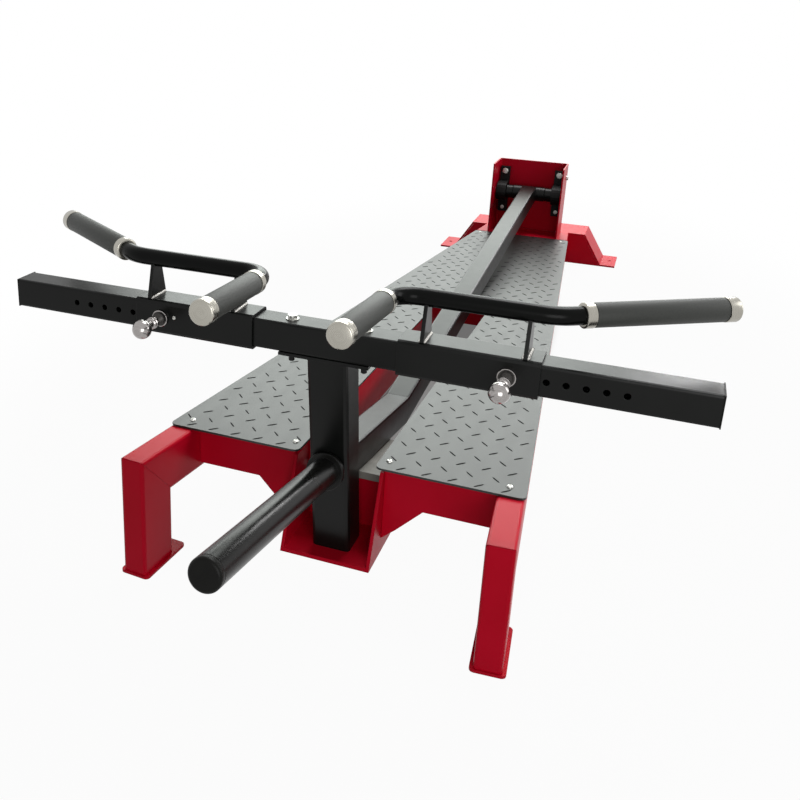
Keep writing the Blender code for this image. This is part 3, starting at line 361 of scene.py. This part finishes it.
def filletPath(corners, radii, steps):
    # Straight runs joined by true arcs: an arc leaves the run at radius / tan(half the corner)
    corners = [np.array(corner, float) for corner in corners]
    path = [corners[0][None]]
    for before, here, after, radius in zip(corners, corners[1:], corners[2:], radii):
        back = (before - here) / np.linalg.norm(before - here)
        ahead = (after - here) / np.linalg.norm(after - here)
        half = math.acos(np.clip(back @ ahead, -1, 1)) / 2
        centre = here + (back + ahead) / np.linalg.norm(back + ahead) * radius / math.sin(half)
        first = here + back * radius / math.tan(half) - centre
        last = here + ahead * radius / math.tan(half) - centre
        sweep = math.pi - 2 * half
        s = np.linspace(0, 1, steps)[:, None]
        arc = (np.sin((1 - s) * sweep) * first + np.sin(s * sweep) * last) / math.sin(sweep)
        path.append(centre + arc)
    path.append(corners[-1][None])
    return np.concatenate(path)


def placed(x, y, z):
    # A point whose y is counted from the deck's front edge
    return (x, y + deckFront, z)


# Tread bars: lens-shaped bars, alternately turned to each diagonal. The deck narrows and falls from front to
# rear, and its middle slot ends at slotEnd.

tread = {"length": 0.0235, "width": 0.0036, "height": 0.0011, "sunk": 0.0006, "bedded": 0.0002, "turn": 47.0,
         "pitchX": 0.0447, "pitchY": 0.067, "offsetX": 0.0242, "offsetY": 0.014, "columns": 10, "rows": 66,
         "margin": 0.005, "screwClear": 0.012, "slotEnd": 1.172, "slotHalf": 0.071, "deckLength": 2.080,
         "frontTop": 0.2265, "rearTop": 0.1275, "frontHalf": 0.328, "rearHalf": 0.169}


def deckScrewSpots(side):
    return [(side * 0.088, 0.033), (side * 0.296, 0.033), (side * 0.146, 2.045)]


def deckTop(y):
    return tread["frontTop"] + (tread["rearTop"] - tread["frontTop"]) * y / tread["deckLength"]


def treadBars(name, side):
    # One bar is a ring of points (r, crown) carried over s in -1..1, and closed along its sunk
    # underside. Its half-width is width/2 * (1 - s^2)^0.6 and its height is
    # height * (1 - r^4) * (1 - s^6). The bar is copied to every lattice point that is clear of
    # the slot, the deck's edges and its screws.
    r = np.array((-1.0, -0.55, 0.55, 1.0, 0.6, -0.6))
    crown = np.array((0.0, 1.0, 1.0, 0.0, 0.0, 0.0))
    under = np.array((0.0, 0.0, 0.0, 0.0, 1.0, 1.0))
    s = np.linspace(-1, 1, 7)[:, None]
    along = s * tread["length"] / 2 + 0 * r
    across = r * tread["width"] / 2 * np.clip(1 - s ** 2, 0, 1) ** 0.6
    height = tread["height"] * (1 - r ** 4) * crown * (1 - s ** 6) - tread["sunk"] * under
    columns = np.arange(-tread["columns"], tread["columns"] + 1)
    row, column = np.meshgrid(np.arange(tread["rows"]), columns, indexing="ij")
    x = (column + 0.5 * (row % 2)) * tread["pitchX"] + tread["offsetX"]
    y = tread["offsetY"] + row * tread["pitchY"] / 2
    angle = np.radians(np.where(row % 2 == 0, tread["turn"], -tread["turn"]))
    reach = tread["length"] / 2 * np.cos(angle) + tread["margin"]
    half = tread["frontHalf"] + (tread["rearHalf"] - tread["frontHalf"]) * y / tread["deckLength"]
    clear = np.where(y < tread["slotEnd"] + reach, tread["slotHalf"], 0.0)
    inside = (side * x > clear + reach) & (side * x < half - reach)
    inside &= (y > reach) & (y < tread["deckLength"] - reach)
    for screwX, screwY in deckScrewSpots(side):
        inside &= np.hypot(x - screwX, y - screwY) > tread["screwClear"]
    x, y, angle = (values[inside][:, None] for values in (x, y, angle))
    flatAlong, flatAcross, flatHeight = (values.ravel()[None] for values in (along, across, height))
    px = x + flatAlong * np.cos(angle) - flatAcross * np.sin(angle)
    py = y + flatAlong * np.sin(angle) + flatAcross * np.cos(angle)
    pz = deckTop(py) + flatHeight - tread["bedded"]
    points = np.stack([px, py + deckFront, pz], -1)
    m, n = along.shape
    a, b = np.meshgrid(np.arange(m - 1), np.arange(n), indexing="ij")
    c = (b + 1) % n
    quad = np.stack([a * n + b, (a + 1) * n + b, (a + 1) * n + c, a * n + c], -1).reshape(-1, 4)
    faces = (quad[None] + np.arange(len(points))[:, None, None] * m * n).reshape(-1, 4)
    piece = sealed(meshPiece(name, points, faces, barPaintedShadeCoat), angle=60)
    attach(piece, "frame")
    return len(points)


# The deck's screws: a low crown with a hexagon socket, as (radius, distance) from the axis and the deck
deckNormal = (0.0, tread["frontTop"] - tread["rearTop"], tread["deckLength"])
screwHead = [(0, 0.0012), (0.0021, 0.0012), (0.0021, 0.0030), (0.0034, 0.0029), (0.0047, 0.0021), (0.0055, 0.0008),
             (0.0056, 0.0), (0.0, 0.0)]
screwLift = 0.0001
for name, side in sides:
    print(name, "tread bars:", treadBars(f"{name}TreadBars", side))
    for k, (x, y) in enumerate(deckScrewSpots(side)):
        screw = turnedPiece(f"{name}DeckScrew{k}", screwHead, placed(x, y, deckTop(y) + screwLift), deckNormal,
                            zincPlate, around=24, hexed=[0, 1, 1, 0, 0, 0, 0, 0])
        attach(screw, "frame")

# Rails along the slot. They are a little deeper than the outer rails, so that no floor shows past the
# lever, and their front lower corner is notched over the cradle. They fall with the deck.

slotRail = {"depth": 0.0925, "notchDepth": 0.0730, "notchRun": 0.0245, "corner": 0.0025}
fall = deckTop(0) - deckTop(1)


def slotRailPiece(name, nodeName):
    # A six-point outline in y and z, carried straight across in x
    low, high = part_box(nodeName)
    run = np.array([0, high[1] - low[1], high[1] - low[1], slotRail["notchRun"], slotRail["notchRun"], 0])
    drop = np.array([0, 0, slotRail["depth"], slotRail["depth"], slotRail["notchDepth"], slotRail["notchDepth"]])
    across = np.repeat([[low[0]], [high[0]]], len(run), axis=1)
    points = np.stack([across, low[1] + run + 0 * across, high[2] - fall * run - drop + 0 * across], -1)
    piece = gridPiece(name, points, finishes["red_paint"], wrapped=True)
    work = bmesh.new()
    work.from_mesh(piece.data)
    bmesh.ops.holes_fill(work, edges=work.edges)
    work.to_mesh(piece.data)
    work.free()
    return softened(sealed(piece), slotRail["corner"])


for name, side in sides:
    rail = slotRailPiece(f"{name}SlotRail", f"{name}_inner_rail")
    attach(rail, "frame")
    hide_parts(f"{name}_inner_rail")
print("slot rails made")

# Handles: bent tube, foam grips, turned rings and end caps. Each rounding is a list of steps inwards from
# the radius and along from the end.

crossBar = {"y": -0.0643, "z": 0.4726, "half": 0.025}
handle = {"radius": 0.0140, "height": 0.567, "innerX": 0.106, "outerX": 0.349, "inset": 0.0045,
          "innerEnd": (0.100, -0.311, 0.5815), "outerEnd": (0.5873, 0.0938, 0.5647),
          "innerBend": 0.042, "outerBend": 0.070, "bendSteps": 16, "innerGrip": 0.194, "outerGrip": 0.250,
          "gripRadius": 0.0185, "capRadius": 0.0191, "capLength": 0.020, "ringLength": 0.015,
          "capFace": 0.004, "capInset": 0.0004, "capEdge": 0.0006, "clearance": 0.0003, "gap": 0.0004,
          "foamRounding": ((0.0016, 0.0004), (0.0004, 0.0010), (0.0, 0.0024)),
          "capRounding": ((0.0022, 0.0), (0.0014, 0.0004), (0.0004, 0.0014), (0.0, 0.0026)),
          "ringEdge": 0.0005, "ringRounding": ((0.0, 0.0016), (0.0012, 0.0003), (0.0020, 0.0))}


def gripSet(name, node, end, along, length, body):
    # A ring at the hand stop, foam between, and a cap over the tube's end, all turned on one axis
    bore = handle["radius"] + handle["clearance"]
    cap, face, edge, gap = handle["capLength"], handle["capInset"], handle["capEdge"], handle["gap"]
    outer, skin, ringEdge = handle["capRadius"], handle["gripRadius"], handle["ringEdge"]
    foamEnd = length - handle["ringLength"]
    foam = [(bore, cap + gap)] + [(skin - inwards, cap + on) for inwards, on in handle["foamRounding"]]
    foam += [(skin - inwards, foamEnd - on) for inwards, on in reversed(handle["foamRounding"])]
    foam += [(bore, foamEnd - gap), (bore, cap + gap)]
    lid = [(0, face)] + [(outer - inwards, face + on) for inwards, on in handle["capRounding"]]
    lid += [(outer, cap - edge), (outer - edge, cap), (bore, cap), (bore, handle["capFace"]), (0, handle["capFace"])]
    hoop = [(bore, foamEnd), (outer - ringEdge, foamEnd), (outer, foamEnd + ringEdge)]
    hoop += [(outer - inwards, length - on) for inwards, on in handle["ringRounding"]]
    hoop += [(bore, length), (bore, foamEnd)]
    for suffix, source, profile, material, finish in (("Foam", "", foam, gripFoam, "grip_rubber"),
                                                      ("EndCap", "_cap", lid, turnedAluminium, "grip_metal"),
                                                      ("Ring", "_collar", hoop, turnedAluminium, "grip_metal")):
        piece = turnedPiece(f"{name}{suffix}", profile, end, along, material, around=64)
        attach(piece, body)
        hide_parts(f"{node}_grip{source}")


for name, side in sides:
    body = f"{name}_carriage"
    flip = np.array((side, 1.0, 1.0))
    inner = np.array(placed(*handle["innerEnd"])) * flip
    outer = np.array(placed(*handle["outerEnd"])) * flip
    innerCorner = np.array(placed(handle["innerX"], crossBar["y"], handle["height"])) * flip
    outerCorner = np.array(placed(handle["outerX"], crossBar["y"], handle["height"])) * flip
    innerAlong = (innerCorner - inner) / np.linalg.norm(innerCorner - inner)
    outerAlong = (outerCorner - outer) / np.linalg.norm(outerCorner - outer)
    # The tube ends inside its caps
    path = filletPath([inner + innerAlong * handle["inset"], innerCorner, outerCorner,
                       outer + outerAlong * handle["inset"]],
                      [handle["innerBend"], handle["outerBend"]], handle["bendSteps"])
    tube = sweptPiece(f"{name}BentHandle", path, handle["radius"], tubeCoat, around=36)
    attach(tube, body)
    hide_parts(f"{name}_handle_bar")
    gripSet(f"{name}InnerGrip", f"{name}_inner", inner, innerAlong, handle["innerGrip"], body)
    gripSet(f"{name}OuterGrip", f"{name}_outer", outer, outerAlong, handle["outerGrip"], body)
print("handles made")

# Pop pins: threaded barrel with a flange and a bright ring, collar and ball knob. Lengths run out from the
# sleeve's front face. Each list of steps is (inwards from the radius, out), but the ring's go outwards from
# the flange, and the collar's run out from its seat.

pin = {"x": 0.288, "z": crossBar["z"], "faceY": crossBar["y"] - 0.0295, "barrel": 0.0095, "flange": 0.0130,
       "length": 0.022, "stem": 0.0048, "ball": 0.0160, "reach": 0.060, "collar": 0.0100, "sunk": 0.0035,
       "clearance": 0.0003, "threads": 9, "threadFrom": 0.0065, "threadDepth": 0.0009, "plain": 0.008,
       "neck": 0.0065, "neckEnd": 0.0115, "ringBore": 0.0002, "shoulder": (0.0006, 0.0050),
       "flangeSteps": ((0.0006, 0.0004), (0, 0.0010), (0, 0.0042), (0.0006, 0.0048)),
       "ringSteps": ((0.0004, 0.0003), (0.0012, 0.0010), (0.0012, 0.0038), (0.0004, 0.0046)),
       "collarSteps": ((0.001, 0), (0, 0.001), (0, 0.0045), (0.0014, 0.0055), (0.0014, 0.0065), (0.0004, 0.0075),
                       (0.0004, 0.0095), (0.0020, 0.0110))}


def pinPieces(name, side):
    at = placed(side * pin["x"], pin["faceY"], pin["z"])
    barrel, flange, collar, stem = pin["barrel"], pin["flange"], pin["collar"], pin["stem"]
    bore, sunk = stem + pin["clearance"], -pin["sunk"]
    pitch = (pin["length"] - pin["plain"]) / pin["threads"]
    crest = np.arange(2 * pin["threads"] + 1)
    threads = np.stack([barrel - pin["threadDepth"] * (crest % 2), pin["threadFrom"] + crest * pitch / 2], -1)
    flangeRows = [(flange - inwards, out) for inwards, out in pin["flangeSteps"]]
    shoulder = (barrel + pin["shoulder"][0], pin["shoulder"][1])
    threaded = np.concatenate([[(bore, sunk), (barrel, sunk), (barrel, flangeRows[0][1]), *flangeRows, shoulder],
                               threads, [(bore, pin["length"]), (bore, sunk)]])
    body = turnedPiece(f"{name}PinBarrel", threaded, at, (0, -1, 0), threadSteel, around=40)
    inside = barrel + pin["ringBore"]
    ringRows = [(flange + outwards, out) for outwards, out in pin["ringSteps"]]
    ring = [(inside, ringRows[0][1]), *ringRows, (inside, ringRows[-1][1]), (inside, ringRows[0][1])]
    flangePiece = turnedPiece(f"{name}PinFlange", ring, at, (0, -1, 0), polishedSteel, around=48)
    seat = pin["length"] + pin["clearance"]
    t = np.linspace(math.asin(pin["neck"] / pin["ball"]), math.pi, 22)
    ball = np.stack([pin["ball"] * np.sin(t), pin["reach"] - pin["ball"] * np.cos(t)], -1)
    ball[-1, 0] = 0
    shaft = [(0, sunk), (stem, sunk), (stem, seat)]
    shaft += [(collar - inwards, seat + out) for inwards, out in pin["collarSteps"]]
    shaft += [(pin["neck"] + 0.0001, seat + pin["neckEnd"])]
    knob = turnedPiece(f"{name}BallKnob", np.concatenate([shaft, ball]), at, (0, -1, 0), polishedSteel, around=56)
    for piece in (body, flangePiece):
        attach(piece, f"{name}_carriage")
        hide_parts(f"{name}_pin_barrel")
    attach(knob, f"{name}_plunger")
    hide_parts(f"{name}_pop_pin")


for name, side in sides:
    pinPieces(name, side)
print("pop pins made")

# Weight horn: hollow sleeve with its stop collar, and a rounded end plug. It rises from the front face of
# the post: lean is the post's angle off upright and rise the horn's off level.

horn = {"lean": math.radians(9.2), "rise": math.radians(10.4), "postY": -0.0146, "postZ": 0.2975, "depth": 0.066,
        "rootZ": 0.2260, "radius": 0.0245, "bore": 0.0205, "length": 0.472, "collar": 0.033, "collarFrom": 0.012,
        "collarTo": 0.022, "soft": 0.0012, "weldIn": 0.0005, "rimEdge": 0.0005, "cap": 0.012, "gap": 0.0003,
        "plug": 0.026, "plugGap": 0.0004, "capEdge": 0.0006, "crown": 0.0055, "capMiddle": 0.010}
faceY = (horn["postY"] - (horn["rootZ"] - horn["postZ"]) * math.tan(horn["lean"])
         - horn["depth"] / 2 / math.cos(horn["lean"]))
hornRoot = placed(0, faceY, horn["rootZ"])
hornAxis = (0, -math.cos(horn["rise"]), math.sin(horn["rise"]))
end, radius, bore, cap = horn["length"], horn["radius"], horn["bore"], horn["cap"]
plugRadius = bore - horn["plugGap"]
capProfile = [(0, end - horn["plug"]), (plugRadius, end - horn["plug"]), (plugRadius, end - cap),
              (radius - horn["gap"], end - cap), (radius, end - cap + horn["capEdge"])]
turn = np.linspace(0, np.pi / 2, 10)
crown = np.stack([radius - horn["crown"] * (1 - np.cos(turn)), end - horn["crown"] + horn["crown"] * np.sin(turn)], -1)
capPiece = turnedPiece("hornEndCap", np.concatenate([capProfile, crown, [(horn["capMiddle"], end), (0, end)]]),
                       hornRoot, hornAxis, plugPlastic, around=64)
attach(capPiece, "lever")
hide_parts("horn_end_cap")

# The horn's sleeve, turned round its axis: it starts a hair inside the post's leaning face, so that no
# light shows at the weld, and ends just short of the cap
start, rim, soft = -horn["weldIn"], end - cap - horn["gap"], horn["soft"]
low, high, ring = horn["collarFrom"], horn["collarTo"], horn["collar"]
sleeveProfile = [(bore, start), (radius, start), (radius, low), (ring - soft, low), (ring, low + soft),
                 (ring, high - soft), (ring - soft, high), (radius, high), (radius, rim - horn["rimEdge"]),
                 (radius - horn["rimEdge"], rim), (bore, rim), (bore, start)]
sleeve = turnedPiece("weightSleeve", sleeveProfile, hornRoot, hornAxis, sleeveCoat, around=96)
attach(sleeve, "lever")
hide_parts("weight_horn")


# Fasteners. The bolt's sizes are multiples of half its head's width, and its washer's are in metres.

bolt = {"washer": 1.25, "collar": 1.02, "flats": 0.55, "crown": 0.90, "chamfer": 0.68, "top": 0.70,
        "washerTop": 0.0014, "base": 0.0015}


def hexBolt(name, at, axis, size, body):
    # A washer, then a hex head with a turned chamfer on its crown
    base = bolt["base"]
    profile = [(0, 0), (size * bolt["washer"], 0), (size * bolt["washer"], bolt["washerTop"]),
               (size * bolt["collar"], base), (size, base), (size, base + size * bolt["flats"]),
               (size * bolt["crown"], base + size * bolt["chamfer"]), (0, base + size * bolt["top"])]
    piece = turnedPiece(name, profile, at, axis, zincPlate, around=48, hexed=[0, 0, 0, 0, 1, 1, 0, 0])
    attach(piece, body)
    return piece


seat = {"boltX": 0.062, "head": 0.0086, "lift": 0.0002, "plate": 0.005, "tip": 0.016, "sunk": 0.001,
        "shank": 0.005, "point": 0.0042, "taper": 0.001}
for name, side in sides:
    top = placed(side * seat["boltX"], crossBar["y"], crossBar["z"] + crossBar["half"] + seat["lift"])
    head = hexBolt(f"{name}SeatBoltHead", top, (0, 0, 1), seat["head"], "lever")
    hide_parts(f"{name}_seat_bolt")
    # The bolts screw into the seat plate, and only their tips stand out below it. The tips take the black paint as
    # painted shade, for the shadow they sit in under the bar.
    tip = 2 * crossBar["half"] + seat["plate"] + seat["tip"]
    shankProfile = [(0, 0), (seat["shank"], 0), (seat["shank"], tip - seat["taper"]), (seat["point"], tip), (0, tip)]
    shank = turnedPiece(f"{name}SeatBoltShank", shankProfile, (top[0], top[1], top[2] - seat["sunk"]), (0, 0, -1),
                        finishes["black_paint"], around=24)
    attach(shank, "lever")

bearing = {"x": 0.100, "z": 0.270, "spacing": 0.140, "frontY": 2.2025, "backY": 2.2242, "cheekX": 0.127,
           "cheekY": 2.187, "cheekZ": 0.336, "lift": 0.0002, "upperHead": 0.0085, "lowerHead": 0.0056,
           "nut": 0.0085, "cheekHead": 0.0075}
for name, side in sides:
    for k, up, head in (("Upper", 0.5, bearing["upperHead"]), ("Lower", -0.5, bearing["lowerHead"])):
        x, z = side * bearing["x"], bearing["z"] + up * bearing["spacing"]
        hexBolt(f"{name}{k}BearingBolt", placed(x, bearing["frontY"], z), (0, -1, 0), head, "frame")
        hexBolt(f"{name}{k}BearingNut", placed(x, bearing["backY"], z), (0, 1, 0), bearing["nut"], "frame")
    at = placed(side * (bearing["cheekX"] + bearing["lift"]), bearing["cheekY"], bearing["cheekZ"])
    hexBolt(f"{name}CheekBolt", at, (side, 0, 0), bearing["cheekHead"], "frame")

stop = {"x": -0.262, "z": 0.4770, "sunk": 0.0002,
        "profile": [(0, 0), (0.0032, 0), (0.0032, 0.0014), (0.0024, 0.0024), (0, 0.0026)]}
stopScrew = turnedPiece("leftStopScrew", stop["profile"], placed(stop["x"], pin["faceY"] - stop["sunk"], stop["z"]),
                        (0, -1, 0), zincPlate, around=20)
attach(stopScrew, "left_carriage")

# Spacer tubes that hide the shaft between the hub and the bearings
spacer = {"from": 0.0584, "to": 0.0826, "radius": 0.0245, "bore": 0.0158, "edge": 0.001, "y": 2.1697, "z": 0.270}
near, far, outer, edge = spacer["from"], spacer["to"], spacer["radius"], spacer["edge"]
spacerProfile = [(spacer["bore"], near), (outer - edge, near), (outer, near + edge), (outer, far - edge),
                 (outer - edge, far), (spacer["bore"], far), (spacer["bore"], near)]
for name, side in sides:
    tube = turnedPiece(f"{name}ShaftSpacer", spacerProfile, placed(0, spacer["y"], spacer["z"]), (side, 0, 0),
                       blackCoat, around=48)
    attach(tube, "lever")
print("fasteners made")

# Weld beads along the gusset feet, one on each side of a gusset, from behind the bar's middle to before it

weld = {"gussets": {"Inner": 0.157, "Outer": 0.311}, "aside": 0.0035, "reach": 0.024, "z": 0.5026, "radius": 0.0024,
        "ripple": 0.14, "pitch": 0.0032, "step": 0.0008}


def weldLine(name, start, finish, body):
    # A bead along a line; its radius at s is radius * (1 + ripple * sin(2 pi s / pitch)), and it fades
    # towards both ends as the root of the distance from them
    start, finish = np.array(start), np.array(finish)
    length = np.linalg.norm(finish - start)
    s = np.linspace(0, length, max(12, int(length / weld["step"])))
    ripple = weld["radius"] * (1 + weld["ripple"] * np.sin(2 * np.pi * s / weld["pitch"]))
    fade = np.clip(np.minimum(s, length - s) / weld["radius"], 0.02, 1) ** 0.5
    bead = sweptPiece(name, start + (finish - start) * (s / length)[:, None], ripple * fade, weldHighlightMetal, around=12)
    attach(bead, body)


for name, side in sides:
    for place, gussetX in weld["gussets"].items():
        for face, step in (("Left", -1), ("Right", 1)):
            x = side * gussetX + step * weld["aside"]
            weldLine(f"{name}{place}GussetWeld{face}", placed(x, crossBar["y"] - weld["reach"], weld["z"]),
                     placed(x, crossBar["y"] + weld["reach"], weld["z"]), f"{name}_carriage")
print("welds made")

# Floor, light and camera

# The floor reads white to the camera, fully so away from the machine, a little less near it, and least in
# the core of its shadow. Each zone is the length of the offset over the zone's half sizes.
ground = {"size": 40.0, "z": -0.0004, "colour": "#807F7D", "roughness": 0.9,
          "around": {"at": (0.0, 0.0, 0.0), "half": (1.0, 1.9, 1.0), "from": 0.8, "to": 1.5, "share": 0.96},
          "core": {"at": (0.0, 0.25, 0.0), "half": (0.22, 0.95, 1.0), "from": 0.75, "to": 1.1, "share": 0.15}}


def seenShare(tree):
    # 1 for rays from the camera, off gloss and through glass, and 0 for the light on the object
    path = addNode(tree, "ShaderNodeLightPath")
    seen = path.outputs["Is Camera Ray"]
    for ray in ("Is Glossy Ray", "Is Transmission Ray"):
        both = addNode(tree, "ShaderNodeMath", {"operation": "MAXIMUM"}, {0: seen, 1: path.outputs[ray]})
        seen = both.outputs[0]
    return seen


def paleFloor():
    material, tree, shader, place = newMaterial("paleFloor")
    edge = ground["size"] / 2
    x, y = np.meshgrid((-edge, edge), (-edge, edge))
    floor = gridPiece("paleFloor", np.stack([x, y, np.full_like(x, ground["z"])], -1), material)
    shader.inputs["Base Color"].default_value = linearColour(ground["colour"])
    shader.inputs["Roughness"].default_value = ground["roughness"]
    share = seenShare(tree)
    for zone in (ground["around"], ground["core"]):
        offset = addNode(tree, "ShaderNodeVectorMath", {"operation": "SUBTRACT"}, {0: place.outputs["Object"]})
        offset.inputs[1].default_value = zone["at"]
        ratio = addNode(tree, "ShaderNodeVectorMath", {"operation": "DIVIDE"}, {0: offset.outputs["Vector"]})
        ratio.inputs[1].default_value = zone["half"]
        reach = addNode(tree, "ShaderNodeVectorMath", {"operation": "LENGTH"}, {0: ratio.outputs["Vector"]})
        factor = addNode(tree, "ShaderNodeMapRange", {"interpolation_type": "SMOOTHSTEP", "From Min": zone["from"],
                                                      "From Max": zone["to"], "To Min": zone["share"], "To Max": 1.0},
                         {"Value": reach.outputs["Value"]})
        product = addNode(tree, "ShaderNodeMath", {"operation": "MULTIPLY"}, {0: share, 1: factor.outputs["Result"]})
        share = product.outputs[0]
    glow = addNode(tree, "ShaderNodeEmission", {"Color": (1, 1, 1, 1), "Strength": 1.0})
    mix = addNode(tree, "ShaderNodeMixShader", None,
                  {"Fac": share, 1: shader.outputs["BSDF"], 2: glow.outputs["Emission"]})
    tree.links.new(mix.outputs["Shader"], tree.nodes["Material Output"].inputs["Surface"])


def whiteWorld(level):
    # White to the rays that show it, and a weak even light of this strength to the rest
    world = bpy.data.worlds.new("studioWhite")
    bpy.context.scene.world = world
    world.use_nodes = True
    tree = world.node_tree
    tree.nodes.clear()
    strength = addNode(tree, "ShaderNodeMapRange", {"To Min": level, "To Max": 1.0}, {"Value": seenShare(tree)})
    sky = addNode(tree, "ShaderNodeBackground", {"Color": (1, 1, 1, 1)}, {"Strength": strength.outputs["Result"]})
    addNode(tree, "ShaderNodeOutputWorld", None, {"Surface": sky.outputs["Background"]})


# Where each lamp stands, what it points at, its width and height, its power in watts and its tint
lamps = {"overheadBox": ((0.3, 3.0, 6.0), (0.0, 0.3, 0.2), (3.0, 3.0), 300, "#FFFFFF"),
         "rearBox": ((-1.6, 4.7, 2.75), (0.0, -0.4, 0.3), (4.0, 3.3), 158, "#F7FFF9"),
         "rearRightBox": ((0.95, 4.7, 2.3), (0.0, -1.2, 0.3), (0.8, 0.9), 34, "#FFFFFF"),
         "frontRightBox": ((0.9, -2.8, 0.8), (0.0, -1.0, 0.3), (1.2, 1.0), 17, "#FFFFFF"),
         "rightBox": ((3.0, 0.5, 1.6), (0.1, -0.3, 0.3), (1.6, 2.2), 36, "#FFFFFF")}
skyLevel = 0.13


def softBox(name, at, aim, size, power, colour):
    lamp = bpy.data.lights.new(name, "AREA")
    lamp.shape = "RECTANGLE"
    lamp.size, lamp.size_y = size
    lamp.energy = power
    lamp.color = linearColour(colour)[:3]
    holder = bpy.data.objects.new(name, lamp)
    bpy.context.scene.collection.objects.link(holder)
    holder.location = at
    holder.rotation_euler = (Vector(aim) - Vector(at)).to_track_quat("-Z", "Y").to_euler()
    holder.visible_camera = False


paleFloor()
whiteWorld(skyLevel)
for name, settings in lamps.items():
    softBox(name, *settings)

# The camera as it was solved from the photo: its place, angles in radians, and focal length and image
# centre in pixels
cameraFit = {"at": (0.4574, -1.3831, 1.0188), "yaw": 0.3757, "pitch": 0.3304, "roll": 0.0261, "focal": 937.79,
             "imageSize": 800, "centre": (292.71, 298.15), "sensor": 36.0, "near": 0.05}


def photoCamera():
    yaw, pitch, roll = cameraFit["yaw"], cameraFit["pitch"], cameraFit["roll"]
    forward = Vector((-math.sin(yaw) * math.cos(pitch), math.cos(yaw) * math.cos(pitch), -math.sin(pitch)))
    level = Vector((math.cos(yaw), math.sin(yaw), 0))
    above = level.cross(forward)
    right = math.cos(roll) * level + math.sin(roll) * above
    up = -math.sin(roll) * level + math.cos(roll) * above
    data = bpy.data.cameras.new("photoCamera")
    data.sensor_width = cameraFit["sensor"]
    data.lens = cameraFit["focal"] / cameraFit["imageSize"] * cameraFit["sensor"]
    half = cameraFit["imageSize"] / 2
    data.shift_x = (half - cameraFit["centre"][0]) / cameraFit["imageSize"]
    data.shift_y = (cameraFit["centre"][1] - half) / cameraFit["imageSize"]
    data.clip_start = cameraFit["near"]
    holder = bpy.data.objects.new("photoCamera", data)
    bpy.context.scene.collection.objects.link(holder)
    turn = Matrix((right, up, -forward)).transposed()
    holder.matrix_world = Matrix.Translation(placed(*cameraFit["at"])) @ turn.to_4x4()
    bpy.context.scene.camera = holder


photoCamera()
bpy.context.scene.view_settings.view_transform = "Standard"
bpy.context.view_layer.update()
print("camera and light set")
